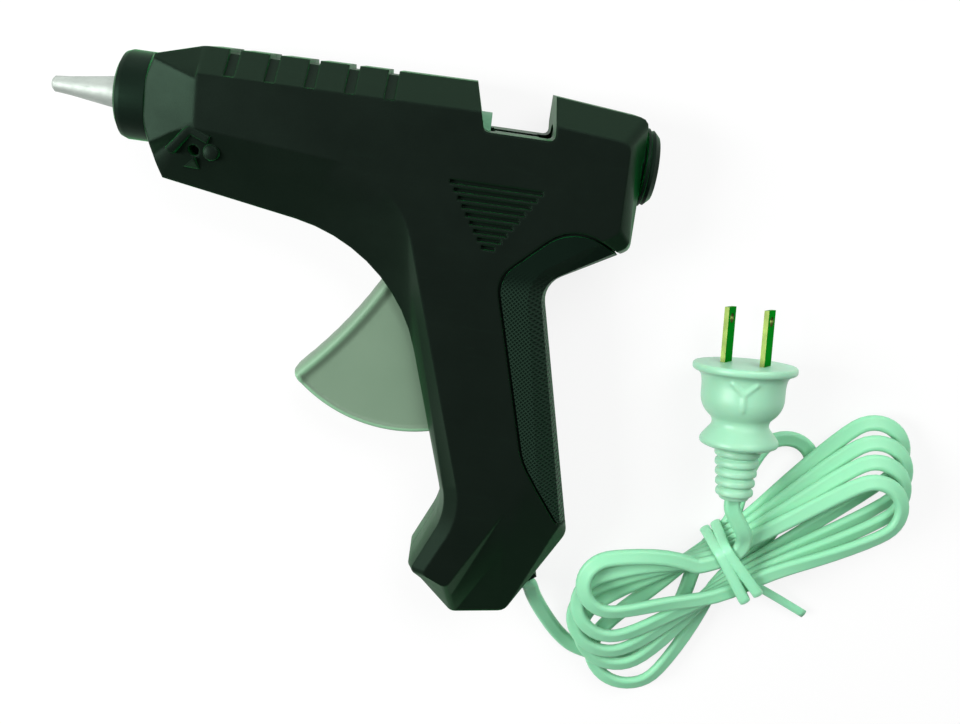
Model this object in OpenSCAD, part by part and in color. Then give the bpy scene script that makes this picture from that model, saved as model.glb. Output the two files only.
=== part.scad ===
// Hot glue applicator with a trigger feed and a tied mains lead.
// While modelling, X runs along the barrel to the rear, Y is up and Z is across,
// measured from the nose, the barrel's axis and the split plane of the housing.

/* [Housing] */
// Thickness across both moulded halves
body_thick = 33; // [31:0.5:36]
// Wall of the moulded halves
wall = 2.4; // [2.2:0.1:2.8]
// Length from the nose to the rear face
barrel_len = 146; // [145:0.5:150]
// Height of the top at the front shoulder
top_front = 16.9; // [16:0.1:18]
// Height of the top over the stick window
top_mid = 18; // [17.5:0.1:19]
// Height of the top at the rear
top_rear = 14.3; // [14:0.1:16]
// Depth of the belly behind the nose
belly = 20.9; // [20:0.1:23]
// Depth of the rear block under the axis
rear_depth = 23.7; // [23:0.1:25]
// Depth of the handle's sole under the axis
handle_drop = 153; // [148:1:160]
// Lean of the handle's back, in degrees
lean_back = 14.1; // [13.5:0.1:15]
// Lean of the handle's front, in degrees
lean_front = 17.3; // [16.5:0.1:18]
// Radius of the throat over the trigger
throat_r = 50; // [44:1:54]
// Half thickness where the bevels start
edge_z = 8; // [7:0.5:9]
// Depth of the grip pocket, the vent slots and the top grooves
mark_depth = 1.2; // [0.8:0.1:1.4]
// Thickness of the inner ribs
rib = 3; // [2.4:0.1:3.4]
// Number of grooves across the top
groove_count = 5; // [3:1:6]
// Spacing of the top grooves
groove_pitch = 11.2; // [10:0.1:12]
// Width of a top groove
groove_w = 3; // [2:0.1:4]
// Number of slots in the vent
vent_count = 9; // [5:1:10]
// Spacing of the vent slots
vent_pitch = 2.2; // [2:0.1:2.4]
// Length of the longest vent slot
vent_len = 25.7; // [20:0.1:28]
// Radius of the sockets for a wire stand
socket_r = 1.6; // [1.2:0.1:2]

/* [Nozzle and melt chamber] */
// Length of nozzle that stands out of the collar
nozzle_out = 20.6; // [17:0.1:22]
// Radius of the nozzle's tip
tip_r = 2.3; // [2:0.1:3]
// Radius of the nozzle where it leaves the collar
nozzle_r = 4.8; // [4.4:0.1:5]
// Radius of the nozzle's outlet
outlet_r = 1; // [0.6:0.1:1.4]
// Radius of the nozzle's threaded shank
shank_r = 3.9; // [3.5:0.1:4.2]
// Radius of the front collar
collar_r = 12.9; // [12.7:0.1:13.2]
// Length of the front collar
collar_len = 7.2; // [6.5:0.1:9]
// Radius of the melt chamber
chamber_r = 9; // [8.6:0.1:9.3]
// Length of the melt chamber's barrel
chamber_len = 42; // [38:0.5:42]
// Length of the silicone sleeve behind the chamber
sleeve_len = 14; // [12:0.5:14]

/* [Stick feed] */
// Radius of the stick inlet's bore
stick_bore_r = 5.75; // [5.6:0.05:6]
// Radius of the inlet ring
ring_r = 11; // [10:0.1:11.6]
// How far the inlet ring stands out of the rear face
ring_out = 4; // [3:0.1:5]
// Radius of the feed carriage
carriage_r = 9.6; // [9.2:0.1:9.8]
// Length of the feed carriage
carriage_len = 24; // [22:0.5:25]
// Floor of the stick window over the axis
window_floor = 4.8; // [4.4:0.1:5.2]
// Width of the window's floor
window_w = 20.2; // [18:0.1:22]

/* [Trigger] */
// Radius of the trigger's sweep about its pivot
trigger_r = 46.9; // [46:0.1:48]
// Width of the trigger across
trigger_w = 12; // [10:0.2:13]
// Radius of the trigger's pivot pin
pivot_r = 2.5; // [2:0.1:3]
// Distance from the pivot to the drive pin
arm_len = 31.5; // [31:0.1:32]
// Full swing of the trigger, in degrees
swing = 24; // [18:1:24]
// Radius of the drive pin on the trigger's arm
drive_r = 2; // [1.6:0.1:2.2]

/* [Lead and plug] */
// Width of the flat lead
cord_w = 5.3; // [5:0.1:5.6]
// Thickness of the flat lead
cord_t = 2.7; // [2.5:0.1:2.9]
// Height between two layers of the hank at its waist
layer_waist = 3.4; // [3.3:0.1:3.8]
// Height between two layers of the hank at its ends
layer_ends = 4.2; // [3.9:0.1:4.8]
// Radius of the plug's flange
flange_r = 16.3; // [15:0.1:16.4]
// Distance between the plug's blades
blade_gap = 12.7; // [12:0.1:13]
// Length of the plug's blades
blade_len = 17.5; // [16:0.1:18]

/* [Clearances] */
// Gap between fitted pieces that don't move
fit_gap = 0.15; // [0.1:0.05:0.2]
// Gap between pieces that slide or swing past each other
slide_gap = 0.3; // [0.2:0.05:0.4]
// Radial gap of a pin that turns in its bore
run_gap = 0.05; // [0.03:0.01:0.08]
// Width of the groove round the grip insert
grip_gap = 0.8; // [0.5:0.1:1]

/* [Hidden] */
$fn = 48;

housing_colour = [0.07, 0.13, 0.10];
grip_colour = [0.10, 0.17, 0.13];
pale_colour = [0.52, 0.66, 0.55];
metal_colour = [0.74, 0.76, 0.74];
brass_colour = [0.66, 0.66, 0.36];
cord_colour = [0.60, 0.92, 0.74];

half = body_thick / 2;
far = 200;
eps = 0.01;

// Outline of the housing in the split plane, and of its flat side face

throat = [77.1, -33.5];
tang = [122.4, -37.5];
heel_y = 36 - handle_drop;
heel = [tang.x + (tang.y - heel_y) * tan(lean_back), heel_y];
ankle_y = heel_y + 4.4;
ankle = [throat.x + (throat.y - ankle_y) * tan(lean_front), ankle_y];
sole_rear = heel + [-15.8, -30.4];
sole_front = heel + [-33.2, -33];
toe = heel + [-49.5, -17.1];
shoulder_x = 17.5;
nose_x = 2.4;
nose_len = 13;
window_x = 105.3;
nose_z = collar_r - 0.2;
// Share of the bevel's run that is reached at mid height: straight, or full and round
flat = 0.6;
full = 0.25;
mid_height = 0.6;

// Each corner: place in the split plane, radius, place on the side face, radius,
// half thickness where the bevel starts, and the share at mid height.
body_corners = [
    [[nose_x, -collar_r + 0.3], 1, [17, -4], 0.4, nose_z, flat],
    [[3.8, -belly], 6, [17.6, -5.4], 0.6, edge_z + 1, flat],
    [throat, throat_r, [76, -10.5], 28, edge_z, flat],
    [ankle, 20, ankle + [6, 1], 26, edge_z, full],
    [toe, 2, toe + [5, 0.3], 2, edge_z + 1, full],
    [sole_front, 3, sole_front + [-3, 12.5], 2, edge_z, flat],
    [sole_rear, 4, sole_rear + [-5.5, 38.5], 3, edge_z, flat],
    [heel, 6, heel + [-12, 15], 6, edge_z, full],
    [tang, 7.5, tang + [-5.8, 2.4], 11, edge_z, full],
    [[barrel_len, -rear_depth], 3, [barrel_len - 5, 5.5 - rear_depth], 3, edge_z + 1, full],
    [[barrel_len - 0.7, top_rear], 3, [barrel_len - 6, top_rear - 7], 3, edge_z, flat],
    [[window_x, top_mid], 2, [window_x, top_mid - 7.8], 2, edge_z, flat],
    [[shoulder_x, top_front], 8, [17.6, top_front - 7.5], 0.6, edge_z + 1, flat],
    [[nose_x, collar_r - 0.5], 1, [17, top_front - 8.9], 0.4, nose_z, flat]];
corner_count = len(body_corners);
mid_corners = [for (c = body_corners) c[0]];
side_corners = [for (c = body_corners) c[2]];
steps = [for (c = body_corners) c[1] > 19 ? 9 : c[1] > 5 ? 6 : 3];

function unit(v) = v / norm(v);
function wrapped(a) = a > 180 ? a - 360 : a <= -180 ? a + 360 : a;
function before(list, i) = list[(i + len(list) - 1) % len(list)];
function after(list, i) = list[(i + 1) % len(list)];
function polar(r, a) = r * [cos(a), sin(a)];
function smooth(t) = t * t * (3 - 2 * t);

// Points of the arc that rounds corner c between its neighbours p and q
function corner_arc(p, c, q, r, n) =
    let (a = unit(p - c), b = unit(q - c))
    let (half_angle = acos(a * b) / 2, reach = r / tan(half_angle))
    let (centre = c + unit(a + b) * r / sin(half_angle))
    let (start = c + a * reach - centre, stop = c + b * reach - centre)
    let (from = atan2(start.y, start.x), turn = wrapped(atan2(stop.y, stop.x) - from))
    [for (k = [0:n]) centre + polar(r, from + turn * k / n)];

// Corner c moved in from both its edges by d, on an outline that runs anticlockwise
function inset_corner(p, c, q, d) =
    let (a = unit(p - c), b = unit(q - c), half_angle = acos(a * b) / 2)
    c + (cross(c - p, q - c) > 0 ? 1 : -1) * unit(a + b) * d / sin(half_angle);
function inset_corners(list, d) =
    [for (i = [0:len(list) - 1]) inset_corner(before(list, i), list[i], after(list, i), d)];
function is_convex(list, i) = cross(list[i] - before(list, i), after(list, i) - list[i]) > 0;
function inset_radius(list, i, r, d) = is_convex(list, i) ? max(r - d, 0.4) : r + d;

function rounded(corners, radii, counts) = [for (i = [0:len(corners) - 1])
    each corner_arc(before(corners, i), corners[i], after(corners, i), radii[i], counts[i])];
function per_point(values) = [for (i = [0:len(values) - 1]) for (k = [0:steps[i]]) values[i]];

// Faces of a solid that joins rings of n points, one ring after the other
function loft_faces(n, rings) = concat(
    [[for (i = [0:n - 1]) i]],
    [for (l = [0:rings - 2]) for (i = [0:n - 1])
        let (a = l * n + i, b = l * n + (i + 1) % n)
        each [[a, a + n, b + n], [a, b + n, b]]],
    [[for (i = [n - 1:-1:0]) (rings - 1) * n + i]]);

// One half of the housing's outer form, drawn in by d all round
module skin(d) {
    mid_radii = [for (i = [0:corner_count - 1]) inset_radius(mid_corners, i, body_corners[i][1], d)];
    side_radii = [for (c = body_corners) c[3]];
    mid = rounded(inset_corners(mid_corners, d), mid_radii, steps);
    side = rounded(side_corners, side_radii, steps);
    break_z = [for (z = per_point([for (c = body_corners) c[4]])) z - 0.4 * d];
    share = per_point([for (c = body_corners) c[5]]);
    top = half - d;
    base = d > 0 ? -1 : 0;
    n = len(mid);
    points = concat(
        [for (p = mid) [p.x, p.y, base]],
        [for (i = [0:n - 1]) [mid[i].x, mid[i].y, break_z[i]]],
        [for (i = [0:n - 1]) let (p = mid[i] + (side[i] - mid[i]) * share[i])
            [p.x, p.y, break_z[i] + (top - break_z[i]) * mid_height]],
        [for (p = side) [p.x, p.y, top]]);
    polyhedron(points, loft_faces(n, 4), convexity = 8);
}

// Places in the row's frame

tip_x = -collar_len - nozzle_out;
rear_x = barrel_len + ring_out;
sole_low = min([for (p = rounded(mid_corners, [for (c = body_corners) c[1]], steps)) p.y]);
window_left = [window_x - 11, window_x - 6.9];
top_slope = (top_mid - top_front) / (window_x - shoulder_x);
top_high = top_front + top_slope * (window_left[0] - shoulder_x);

module place() {
    translate([-(tip_x + rear_x) / 2, -(top_high + sole_low) / 2, half]) children();
}

module both_halves() {
    children();
    mirror([0, 0, 1]) children();
}

module along_x(x) {
    translate([x, 0, 0]) rotate([0, 90, 0]) children();
}

// Feed and trigger places

pivot = [83.4, -44.9];
arm_rest = swing / 2;
drive_rest = pivot + arm_len * [sin(arm_rest), cos(arm_rest)];
slot_half = trigger_w / 2 + 0.4;
window_right = [window_left[1] + window_w, window_left[1] + window_w - 1.6];
carriage_back = window_left[1] + 1.9;
carriage_front = carriage_back - carriage_len;
tunnel_r = carriage_r + slide_gap + 0.2;
rail_gap = 1.9;
chamber_x = 6;
chamber_back = chamber_x + chamber_len;
sleeve_neck = 6;
sleeve_back = chamber_back + sleeve_len;
support_r = chamber_r + 2.2;
front_rib_x = chamber_x;
rear_rib_x = chamber_back - rib - 1;
spigot_r = ring_r - 2.5;
rear_rib_at = 128;
spring_y = -12.5;
spring_post = [122, spring_y];
post_r = 1.6;
post_gap = 0.1;
pivot_boss_r = pivot_r + 2.4;
pin_half = slot_half + 2.3;

// Screws of the housing: boss places, shared by both halves
screw_places = [[10.5, -16.4], [60, -23], [barrel_len - 8, -16], [103, -33], heel + [-18, 18], toe + [12, 9]];
screw_r = 1.4;
screw_head_r = 2.8;
screw_head_h = 2;
screw_seat = 6;
screw_end = 9;
boss_r = 4.6;

// Cord outlet in the foot

foot_dir = unit(heel - sole_rear);
cord_angle = -52;
cord_dir = [cos(cord_angle), sin(cord_angle)];
cord_exit = sole_rear + foot_dir * 10.8;
bush_len = 8;
bush_w = cord_w + 3.4;
bush_h = cord_t + 3.2;
clamp_at = 18;
clamp_len = 6.4;
clamp_w = 16;
clamp_screw_r = 1.2;
clamp_screw_y = 5.4;
cord_inside = 24;

// Puts children at the cord's outlet, with X running out along the cord
module at_outlet() {
    translate([cord_exit.x, cord_exit.y, 0]) rotate([0, 0, cord_angle]) children();
}

// Window through the barrel's top
window_corners = [[window_left[1], window_floor], [window_right[0], window_floor],
    [window_right[1], top_mid + 8], [window_left[0] - 1.6, top_mid + 8]];

module window_prism(grow) {
    outline = rounded(inset_corners(window_corners, -grow), [1.5, 1.5, 1, 1], [3, 3, 2, 2]);
    translate([0, 0, -1]) linear_extrude(half + 2) polygon(outline);
}

// Region of the grip insert on the handle's back, drawn in by d
grip_corners = [[170, -40], [128, -16.5], [107.5, -36], heel + [-19, 25], heel + [-4.7, 4.4], heel + [30, 2]];
grip_radii = [1, 14, 9, 25, 3, 1];

module grip_region(d) {
    outline = rounded(inset_corners(grip_corners, d), grip_radii, [2, 6, 5, 5, 3, 2]);
    translate([0, 0, -half - 2]) linear_extrude(body_thick + 4) polygon(outline);
}

// Marks cut to one depth into the outside: grip pocket, grooves over the top and the vent
groove_start = 26.2;
vent_x = 104.1;
vent_top = -10.7;
vent_h = 1.2;

module surface_marks() {
    grip_region(0);
    for (k = [0:groove_count - 1])
        translate([groove_start + k * groove_pitch - groove_w / 2, top_front - 7.2, -1])
            cube([groove_w, 20, half + 2]);
    for (k = [0:vent_count - 1]) {
        slot_len = vent_len * (1 - k / vent_count) + vent_h;
        translate([vent_x - slot_len / 2, vent_top - k * vent_pitch, half - 4])
            cube([slot_len, vent_h, 6]);
    }
}

// Bent rib and bump beside the stand's socket
socket_at = [17.3, -12];
rib_path = [[11.2, -12.4], [16.3, -6.2], [21.6, -8.2]];
rib_w = 1.8;
bump_at = socket_at + [5.2, 0.2];
bump_r = 2;

module socket_trim() {
    for (k = [0:1]) {
        run = rib_path[k + 1] - rib_path[k];
        translate([rib_path[k].x, rib_path[k].y, edge_z + 2]) rotate([0, 0, atan2(run.y, run.x)])
            translate([0, -rib_w / 2, 0]) cube([norm(run), rib_w, half - edge_z - 2.3]);
    }
    translate([rib_path[1].x, rib_path[1].y, edge_z + 2]) cylinder(r = rib_w / 2, h = half - edge_z - 2.3);
    translate([bump_at.x, bump_at.y, edge_z]) cylinder(r = bump_r, h = half - edge_z - 1.4);
}

// What stands inside one half: ribs, bosses, rails and the window's lining
module inner_ribs(is_left) {
    translate([0, -32, -1]) cube([nose_len, 60, half + 1]);
    translate([rear_rib_x, -32, -1]) cube([rib, 60, half + 1]);
    translate([rear_rib_at, -20, -1]) cube([rib, 40, half + 1]);
    for (s = [-1, 1])
        translate([sleeve_back, s * (rail_gap + 1) - 1, 0]) cube([window_left[1] + 4 - sleeve_back, 2, half]);
    window_prism(wall);
    translate([pivot.x, pivot.y, slot_half]) cylinder(r = pivot_boss_r, h = half);
    translate([spring_post.x, spring_post.y, -1]) cylinder(r = post_r, h = half);
    translate([socket_at.x, socket_at.y, edge_z - 1.2]) cylinder(r = socket_r + 1.8, h = half);
    for (p = screw_places)
        translate([p.x, p.y, -1]) cylinder(r = boss_r, h = half);
    at_outlet() translate([-bush_len, -bush_w / 2 - wall, -1]) cube([bush_len + 4, bush_w + 2 * wall, half]);
    if (!is_left)
        at_outlet() translate([-clamp_at - clamp_len / 2, -clamp_w / 2, cord_t / 2 + fit_gap])
            cube([clamp_len, clamp_w, half]);
}

// Cuts of one half that need no true bore: window, feed tunnel, trigger slot and cord outlet
module plain_cuts() {
    translate([rear_rib_x - 1, crimp_y - crimp_r - 1, -1]) cube([rib + 2, 2 * crimp_r + 4, 9]);
    along_x(sleeve_back - 1) cylinder(r = tunnel_r, h = carriage_back + slide_gap - sleeve_back + 2);
    along_x(window_left[1]) cylinder(r = stick_bore_r + 0.6, h = window_w + 2);
    window_prism(0);
    intersection() {
        translate([pivot.x, pivot.y, -1]) cylinder(r = trigger_r + slide_gap + 0.4, h = slot_half + 1);
        translate([40, pivot.y - 60, -2]) cube([65, 65.4, half]);
    }
    at_outlet() translate([-bush_len - fit_gap, -bush_w / 2 - fit_gap, -1])
        cube([bush_len + 20, bush_w + 2 * fit_gap, bush_h / 2 + fit_gap + 1]);
    // Taper of the nose behind the collar
    difference() {
        translate([nose_x - 1, -half - 20, -1]) cube([nose_len, body_thick + 40, half + 2]);
        along_x(nose_x - 1 - eps)
            cylinder(r1 = collar_r - 1.2, r2 = collar_r + 1.8 * nose_len, h = nose_len + 2 * eps);
    }
}

// True bores of one half
module bores(is_left) {
    along_x(-1) cylinder(r = collar_r - 1.7 + fit_gap, h = front_rib_x + 1 + eps);
    along_x(front_rib_x - eps) cylinder(r = support_r + fit_gap, h = rib + eps);
    along_x(front_rib_x) cylinder(r = chamber_r + 1, h = nose_len);
    along_x(rear_rib_x - 1) cylinder(r = support_r + fit_gap, h = rib + 2);
    along_x(window_right[0] - 4) cylinder(r = spigot_r + fit_gap, h = far);
    translate([pivot.x, pivot.y, -1]) cylinder(r = pivot_r + run_gap, h = pin_half + slide_gap + 1);
    translate([socket_at.x, socket_at.y, edge_z]) cylinder(r = socket_r, h = half);
    for (p = screw_places)
        translate([p.x, p.y, 0]) {
            translate([0, 0, -1]) cylinder(r = screw_r + (is_left ? run_gap : fit_gap), h = screw_end + 2);
            if (!is_left) translate([0, 0, screw_seat]) cylinder(r = screw_head_r + 0.3, h = half);
        }
    if (!is_left)
        for (s = [-1, 1])
            at_outlet() translate([-clamp_at, s * clamp_screw_y, 0])
                cylinder(r = clamp_screw_r + run_gap, h = 8);
}

// The moulded form without its bores, kept at its own size
module moulding(is_left) {
    resize([0, 0, 0]) difference() {
        union() {
            skin(0);
            socket_trim();
        }
        difference() {
            skin(wall);
            inner_ribs(is_left);
        }
        difference() {
            surface_marks();
            skin(mark_depth);
        }
        plain_cuts();
    }
}

module housing_half(is_left) {
    difference() {
        moulding(is_left, $fn = 24);
        bores(is_left);
    }
}

module left_housing() {
    color(housing_colour) place() housing_half(true);
}

module right_housing() {
    color(housing_colour) place() mirror([0, 0, 1]) housing_half(false);
}

module rear_grip() {
    color(grip_colour) place() resize([0, 0, 0]) intersection() {
        both_halves() difference() {
            skin(eps);
            skin(mark_depth - fit_gap);
        }
        grip_region(grip_gap);
    }
}

// Nozzle, collar and heating

module nozzle() {
    root = -collar_len + 1.5;
    color(metal_colour) place() difference() {
        union() {
            along_x(0) rotate_extrude() polygon([[0, tip_x + 0.6], [tip_r - 0.7, tip_x],
                [tip_r, tip_x + 0.7], [tip_r + 0.4, tip_x + 5], [nozzle_r, -collar_len - 1],
                [nozzle_r, root], [0, root]]);
            along_x(root) cylinder(r = 6.4, h = -2 - root, $fn = 6);
            along_x(-3) cylinder(r = shank_r, h = chamber_x + 4);
        }
        along_x(tip_x - 1) cylinder(r = outlet_r, h = far / 2);
    }
}

module nozzle_collar() {
    color(housing_colour) place() along_x(0) rotate_extrude() polygon([
        [nozzle_r + 0.4, -collar_len], [collar_r - 2.4, -collar_len], [collar_r - 0.6, -collar_len + 1],
        [collar_r, -collar_len + 2.6], [collar_r, nose_x - fit_gap], [collar_r - 1.7, nose_x - fit_gap],
        [collar_r - 1.7, chamber_x - 1], [7, chamber_x - 1], [7, -collar_len + 1.2],
        [nozzle_r + 0.4, -collar_len + 1.2]]);
}

block_x = chamber_x + 11;
block_len = chamber_len - 17;
block_low = -16;
block_half = 6;
heater_low = -14.2;
heater_high = -9.8;
heater_half = 4.4;

module melt_chamber() {
    color(metal_colour) place() difference() {
        union() {
            along_x(chamber_x - 1) cylinder(r = 6.7, h = 2);
            along_x(-0.8) cylinder(r = 6.7, h = chamber_x);
            along_x(chamber_x) cylinder(r = chamber_r, h = chamber_len);
            along_x(chamber_back - eps) cylinder(r = chamber_r - 1.4, h = sleeve_neck);
            translate([block_x, block_low, -block_half]) cube([block_len, -block_low - 4, 2 * block_half]);
        }
        along_x(-1) cylinder(r = shank_r + run_gap, h = chamber_x + 3);
        along_x(chamber_x + 1) cylinder(r = outlet_r + 1, h = 6);
        along_x(chamber_x + 4) cylinder(r1 = outlet_r + 1, r2 = stick_bore_r, h = 8);
        along_x(chamber_x + 12 - eps) cylinder(r = stick_bore_r, h = far / 2);
        translate([block_x - 1, heater_low - fit_gap, -heater_half - fit_gap])
            cube([block_len + 2, heater_high - heater_low + 2 * fit_gap, 2 * (heater_half + fit_gap)]);
    }
}

module support(x) {
    color([0.72, 0.64, 0.48]) place() along_x(x) difference() {
        cylinder(r = support_r, h = rib);
        translate([0, 0, -1]) cylinder(r = chamber_r + run_gap, h = rib + 2);
    }
}

module front_support() support(front_rib_x);

module rear_support() support(rear_rib_x);

module heater_element() {
    color([0.55, 0.55, 0.52]) place() translate([block_x + 1, heater_low, -heater_half])
        cube([block_len - 2, heater_high - heater_low, 2 * heater_half]);
}

clip_t = 0.8;
clip_len = 8;

module heater_clip() {
    outer = block_half + fit_gap + clip_t;
    color(metal_colour) place() translate([block_x + block_len / 2 - clip_len / 2, 0, 0]) difference() {
        translate([0, block_low - fit_gap - clip_t, -outer]) cube([clip_len, 9, 2 * outer]);
        translate([-1, block_low - fit_gap, -outer + clip_t]) cube([clip_len + 2, 20, 2 * (outer - clip_t)]);
    }
}

sleeve_r = chamber_r;

module inlet_sleeve() {
    color([0.75, 0.36, 0.28]) place() along_x(chamber_back + fit_gap) difference() {
        cylinder(r = sleeve_r, h = sleeve_len - fit_gap);
        translate([0, 0, -1]) cylinder(r = chamber_r - 1.4 + run_gap, h = sleeve_neck + 1);
        translate([0, 0, -1]) cylinder(r = stick_bore_r, h = far);
        translate([0, 0, sleeve_len - 3]) cylinder(r1 = stick_bore_r, r2 = sleeve_r - 1, h = 3);
    }
}

module sleeve_clamp() {
    color(metal_colour) place() along_x(chamber_back + 2) difference() {
        cylinder(r = sleeve_r + 1, h = 2);
        translate([0, 0, -1]) cylinder(r = sleeve_r + run_gap, h = 4);
        translate([0, -1.2, -1]) cube([far, 2.4, 4]);
    }
}

// Inlet ring, feed carriage and trigger

module inlet_ring() {
    inner_x = window_right[0] + 0.4;
    color(housing_colour) place() along_x(0) rotate_extrude() polygon([
        [stick_bore_r, inner_x], [spigot_r, inner_x], [spigot_r, barrel_len + fit_gap],
        [ring_r + 0.5, barrel_len + fit_gap], [ring_r + 0.5, barrel_len + 1],
        [ring_r - 0.3, barrel_len + 1.4], [ring_r, rear_x - 1.6], [ring_r - 1.6, rear_x],
        [stick_bore_r + 1, rear_x], [stick_bore_r, rear_x - 1]]);
}

wing_half = rail_gap - slide_gap;
wing_z = half - wall - 1.2;
lug_in = 3.3;
lug_out = 6.1;
lug_w = 8.6;
lug_low = drive_rest.y - 3.6;
ear_x = carriage_front + 7;
ear_len = 7.5;
ear_top = 12.6;
ear_in = 2.8;
ear_out = 4.4;
pawl_at = [ear_x + 4.4, 10.8];
pawl_pin_r = 1;
pawl_tip = [pawl_at.x - 7.4, stick_bore_r + 0.8];
tab_len = 3;

module feed_carriage() {
    color(pale_colour) place() difference() {
        union() {
            along_x(carriage_front) cylinder(r = carriage_r, h = carriage_len);
            translate([carriage_front + 2, -wing_half, -wing_z])
                cube([carriage_len - 4, 2 * wing_half, 2 * wing_z]);
            for (z = [-lug_out, lug_in])
                translate([drive_rest.x - lug_w / 2, lug_low, z])
                    cube([lug_w, -lug_low - 6, lug_out - lug_in]);
            for (z = [-ear_out, ear_in])
                translate([ear_x, 5, z]) cube([ear_len, ear_top - 5, ear_out - ear_in]);
            translate([carriage_back - tab_len - 1, spring_y - 1.6, -1.2]) cube([tab_len, 6, 2.4]);
        }
        along_x(carriage_front - 1) cylinder(r = stick_bore_r + 0.5, h = carriage_len + 2);
        translate([carriage_front + 1.6, 3, -ear_in])
            cube([ear_x + ear_len - carriage_front - 1.2, 20, 2 * ear_in]);
        translate([pawl_at.x, pawl_at.y, -half]) cylinder(r = pawl_pin_r + run_gap, h = body_thick);
        translate([drive_rest.x - drive_r - 0.2, lug_low + 1.2, -half])
            cube([2 * drive_r + 0.4, 5.1, body_thick]);
    }
}

module grip_pawl() {
    pawl_half = ear_in - slide_gap;
    color(metal_colour) place() translate([0, 0, -pawl_half]) difference() {
        linear_extrude(2 * pawl_half) union() {
            translate(pawl_at) circle(r = 2.1);
            polygon([pawl_at + [0, -2.1], pawl_at + [0, 2.1], pawl_tip + [0.4, 2.6], pawl_tip,
                pawl_tip + [0.9, 1.1], pawl_tip + [1.8, 0], pawl_tip + [2.7, 1.2], pawl_tip + [3.6, 0.3]]);
        }
        translate([pawl_at.x, pawl_at.y, -1]) cylinder(r = pawl_pin_r + run_gap, h = far);
    }
}

module pawl_pin() {
    color(metal_colour) place() translate([pawl_at.x, pawl_at.y, -ear_out])
        cylinder(r = pawl_pin_r, h = 2 * ear_out);
}

lip_top = pivot + [-8, 3.6];
tip_corner = pivot + [-34.4, -31.8];
tip_angle = atan2(-31.8, -34.4);
rear_angle = -66;
hub_r = 5;
rim_lip = 2.6;
rim_sole = 1.7;
rim_depth = 1;
arm_half = 2.9;
arm_end_r = 3.4;
sole_steps = 10;

// Outline of the finger lever, drawn in from its lip and its sole
module lever(in_lip, in_sole) {
    reach = trigger_r - in_sole;
    lip_dir = unit(tip_corner - lip_top);
    inward = [-lip_dir.y, lip_dir.x];
    start = lip_top + inward * in_lip;
    sag = (lip_top + tip_corner) / 2 + inward * (in_lip + 1.2);
    tip = tip_corner + inward * in_lip - lip_dir * (in_sole + in_lip * 0.2);
    tip_round = corner_arc(sag, tip, pivot + polar(reach, tip_angle + 12), 2, 4);
    polygon(concat([start, sag], tip_round,
        [for (k = [0:sole_steps]) pivot + polar(reach,
            tip_angle + 8 + in_lip + (rear_angle - tip_angle - 8 - 2 * in_lip) * k / sole_steps)],
        [pivot + polar(hub_r + in_lip, rear_angle + 20)]));
}

module trigger() {
    body_half = trigger_w / 2;
    color(pale_colour) place() difference() {
        union() {
            difference() {
                translate([0, 0, -body_half]) linear_extrude(trigger_w) lever(0, 0);
                for (z = [-body_half - 1, body_half - rim_depth])
                    translate([0, 0, z]) linear_extrude(rim_depth + 1) lever(rim_lip, rim_sole);
            }
            translate([pivot.x, pivot.y, -body_half]) cylinder(r = hub_r, h = trigger_w);
            translate([0, 0, -arm_half]) linear_extrude(2 * arm_half) polygon([
                pivot + [-hub_r, 0], pivot + [hub_r, 0],
                drive_rest + [arm_end_r - 0.5, 0], drive_rest + [-arm_end_r + 0.5, 0]]);
            translate([drive_rest.x, drive_rest.y, -arm_half]) cylinder(r = arm_end_r, h = 2 * arm_half);
            translate([drive_rest.x, drive_rest.y, -lug_out]) cylinder(r = drive_r, h = 2 * lug_out);
        }
        translate([pivot.x, pivot.y, -half]) cylinder(r = pivot_r + run_gap, h = body_thick);
    }
}

module trigger_pin() {
    color(metal_colour) place() translate([pivot.x, pivot.y, -pin_half])
        cylinder(r = pivot_r, h = 2 * pin_half);
}

// Tube of n sides through a list of points, with each ring's own width axis
function side_of(x) = x > eps ? 1 : x < -eps ? -1 : 0;
function ring_points(p, across, up, w, h, n) = [for (k = [0:n - 1]) let (a = 360 * k / n)
    p + across * (side_of(cos(a)) * (w - h) / 2 + h / 2 * cos(a)) + up * (h / 2 * sin(a))];
function tangents(path) = [for (i = [0:len(path) - 1])
    unit(path[min(i + 1, len(path) - 1)] - path[max(i - 1, 0)])];

module swept(path, rolls, w, h, n) {
    along = tangents(path);
    points = [for (i = [0:len(path) - 1])
        let (level = unit(cross([0, 0, 1], along[i])), raised = cross(along[i], level))
        let (across = level * cos(rolls[i]) + raised * sin(rolls[i]))
        each ring_points(path[i], across, cross(along[i], across), w, h, n)];
    polyhedron(points, swept_faces(n, len(path)), convexity = 10);
}

function swept_faces(n, rings) = concat(
    [for (i = [1:n - 2]) [0, i, i + 1]],
    [for (l = [0:rings - 2]) for (i = [0:n - 1])
        let (a = l * n + i, b = l * n + (i + 1) % n)
        each [[a, a + n, b + n], [a, b + n, b]]],
    [for (i = [1:n - 2]) let (o = (rings - 1) * n) [o, o + i + 1, o + i]]);

spring_r = 2.4;
spring_wire = 0.7;
spring_turns = 9.25;
spring_from = carriage_back - 1 + spring_wire / 2 + post_gap;
spring_to = spring_post.x - post_r - spring_wire / 2 - post_gap;

module return_spring() {
    path = [for (k = [0:8 * spring_turns])
        [spring_from + (spring_to - spring_from) * k / (8 * spring_turns),
            spring_y + spring_r * cos(45 * k), spring_r * sin(45 * k)]];
    color(metal_colour) place() swept(path, [for (p = path) 0], spring_wire, spring_wire, 6);
}

module housing_screws() {
    color(metal_colour) place() for (p = screw_places) translate([p.x, p.y, 0]) {
        translate([0, 0, -screw_seat - screw_head_h / 2])
            cylinder(r = screw_r, h = screw_head_h / 2 + screw_seat + screw_end);
        translate([0, 0, -screw_seat - screw_head_h]) cylinder(r = screw_head_r, h = screw_head_h - 0.02);
    }
}

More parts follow.
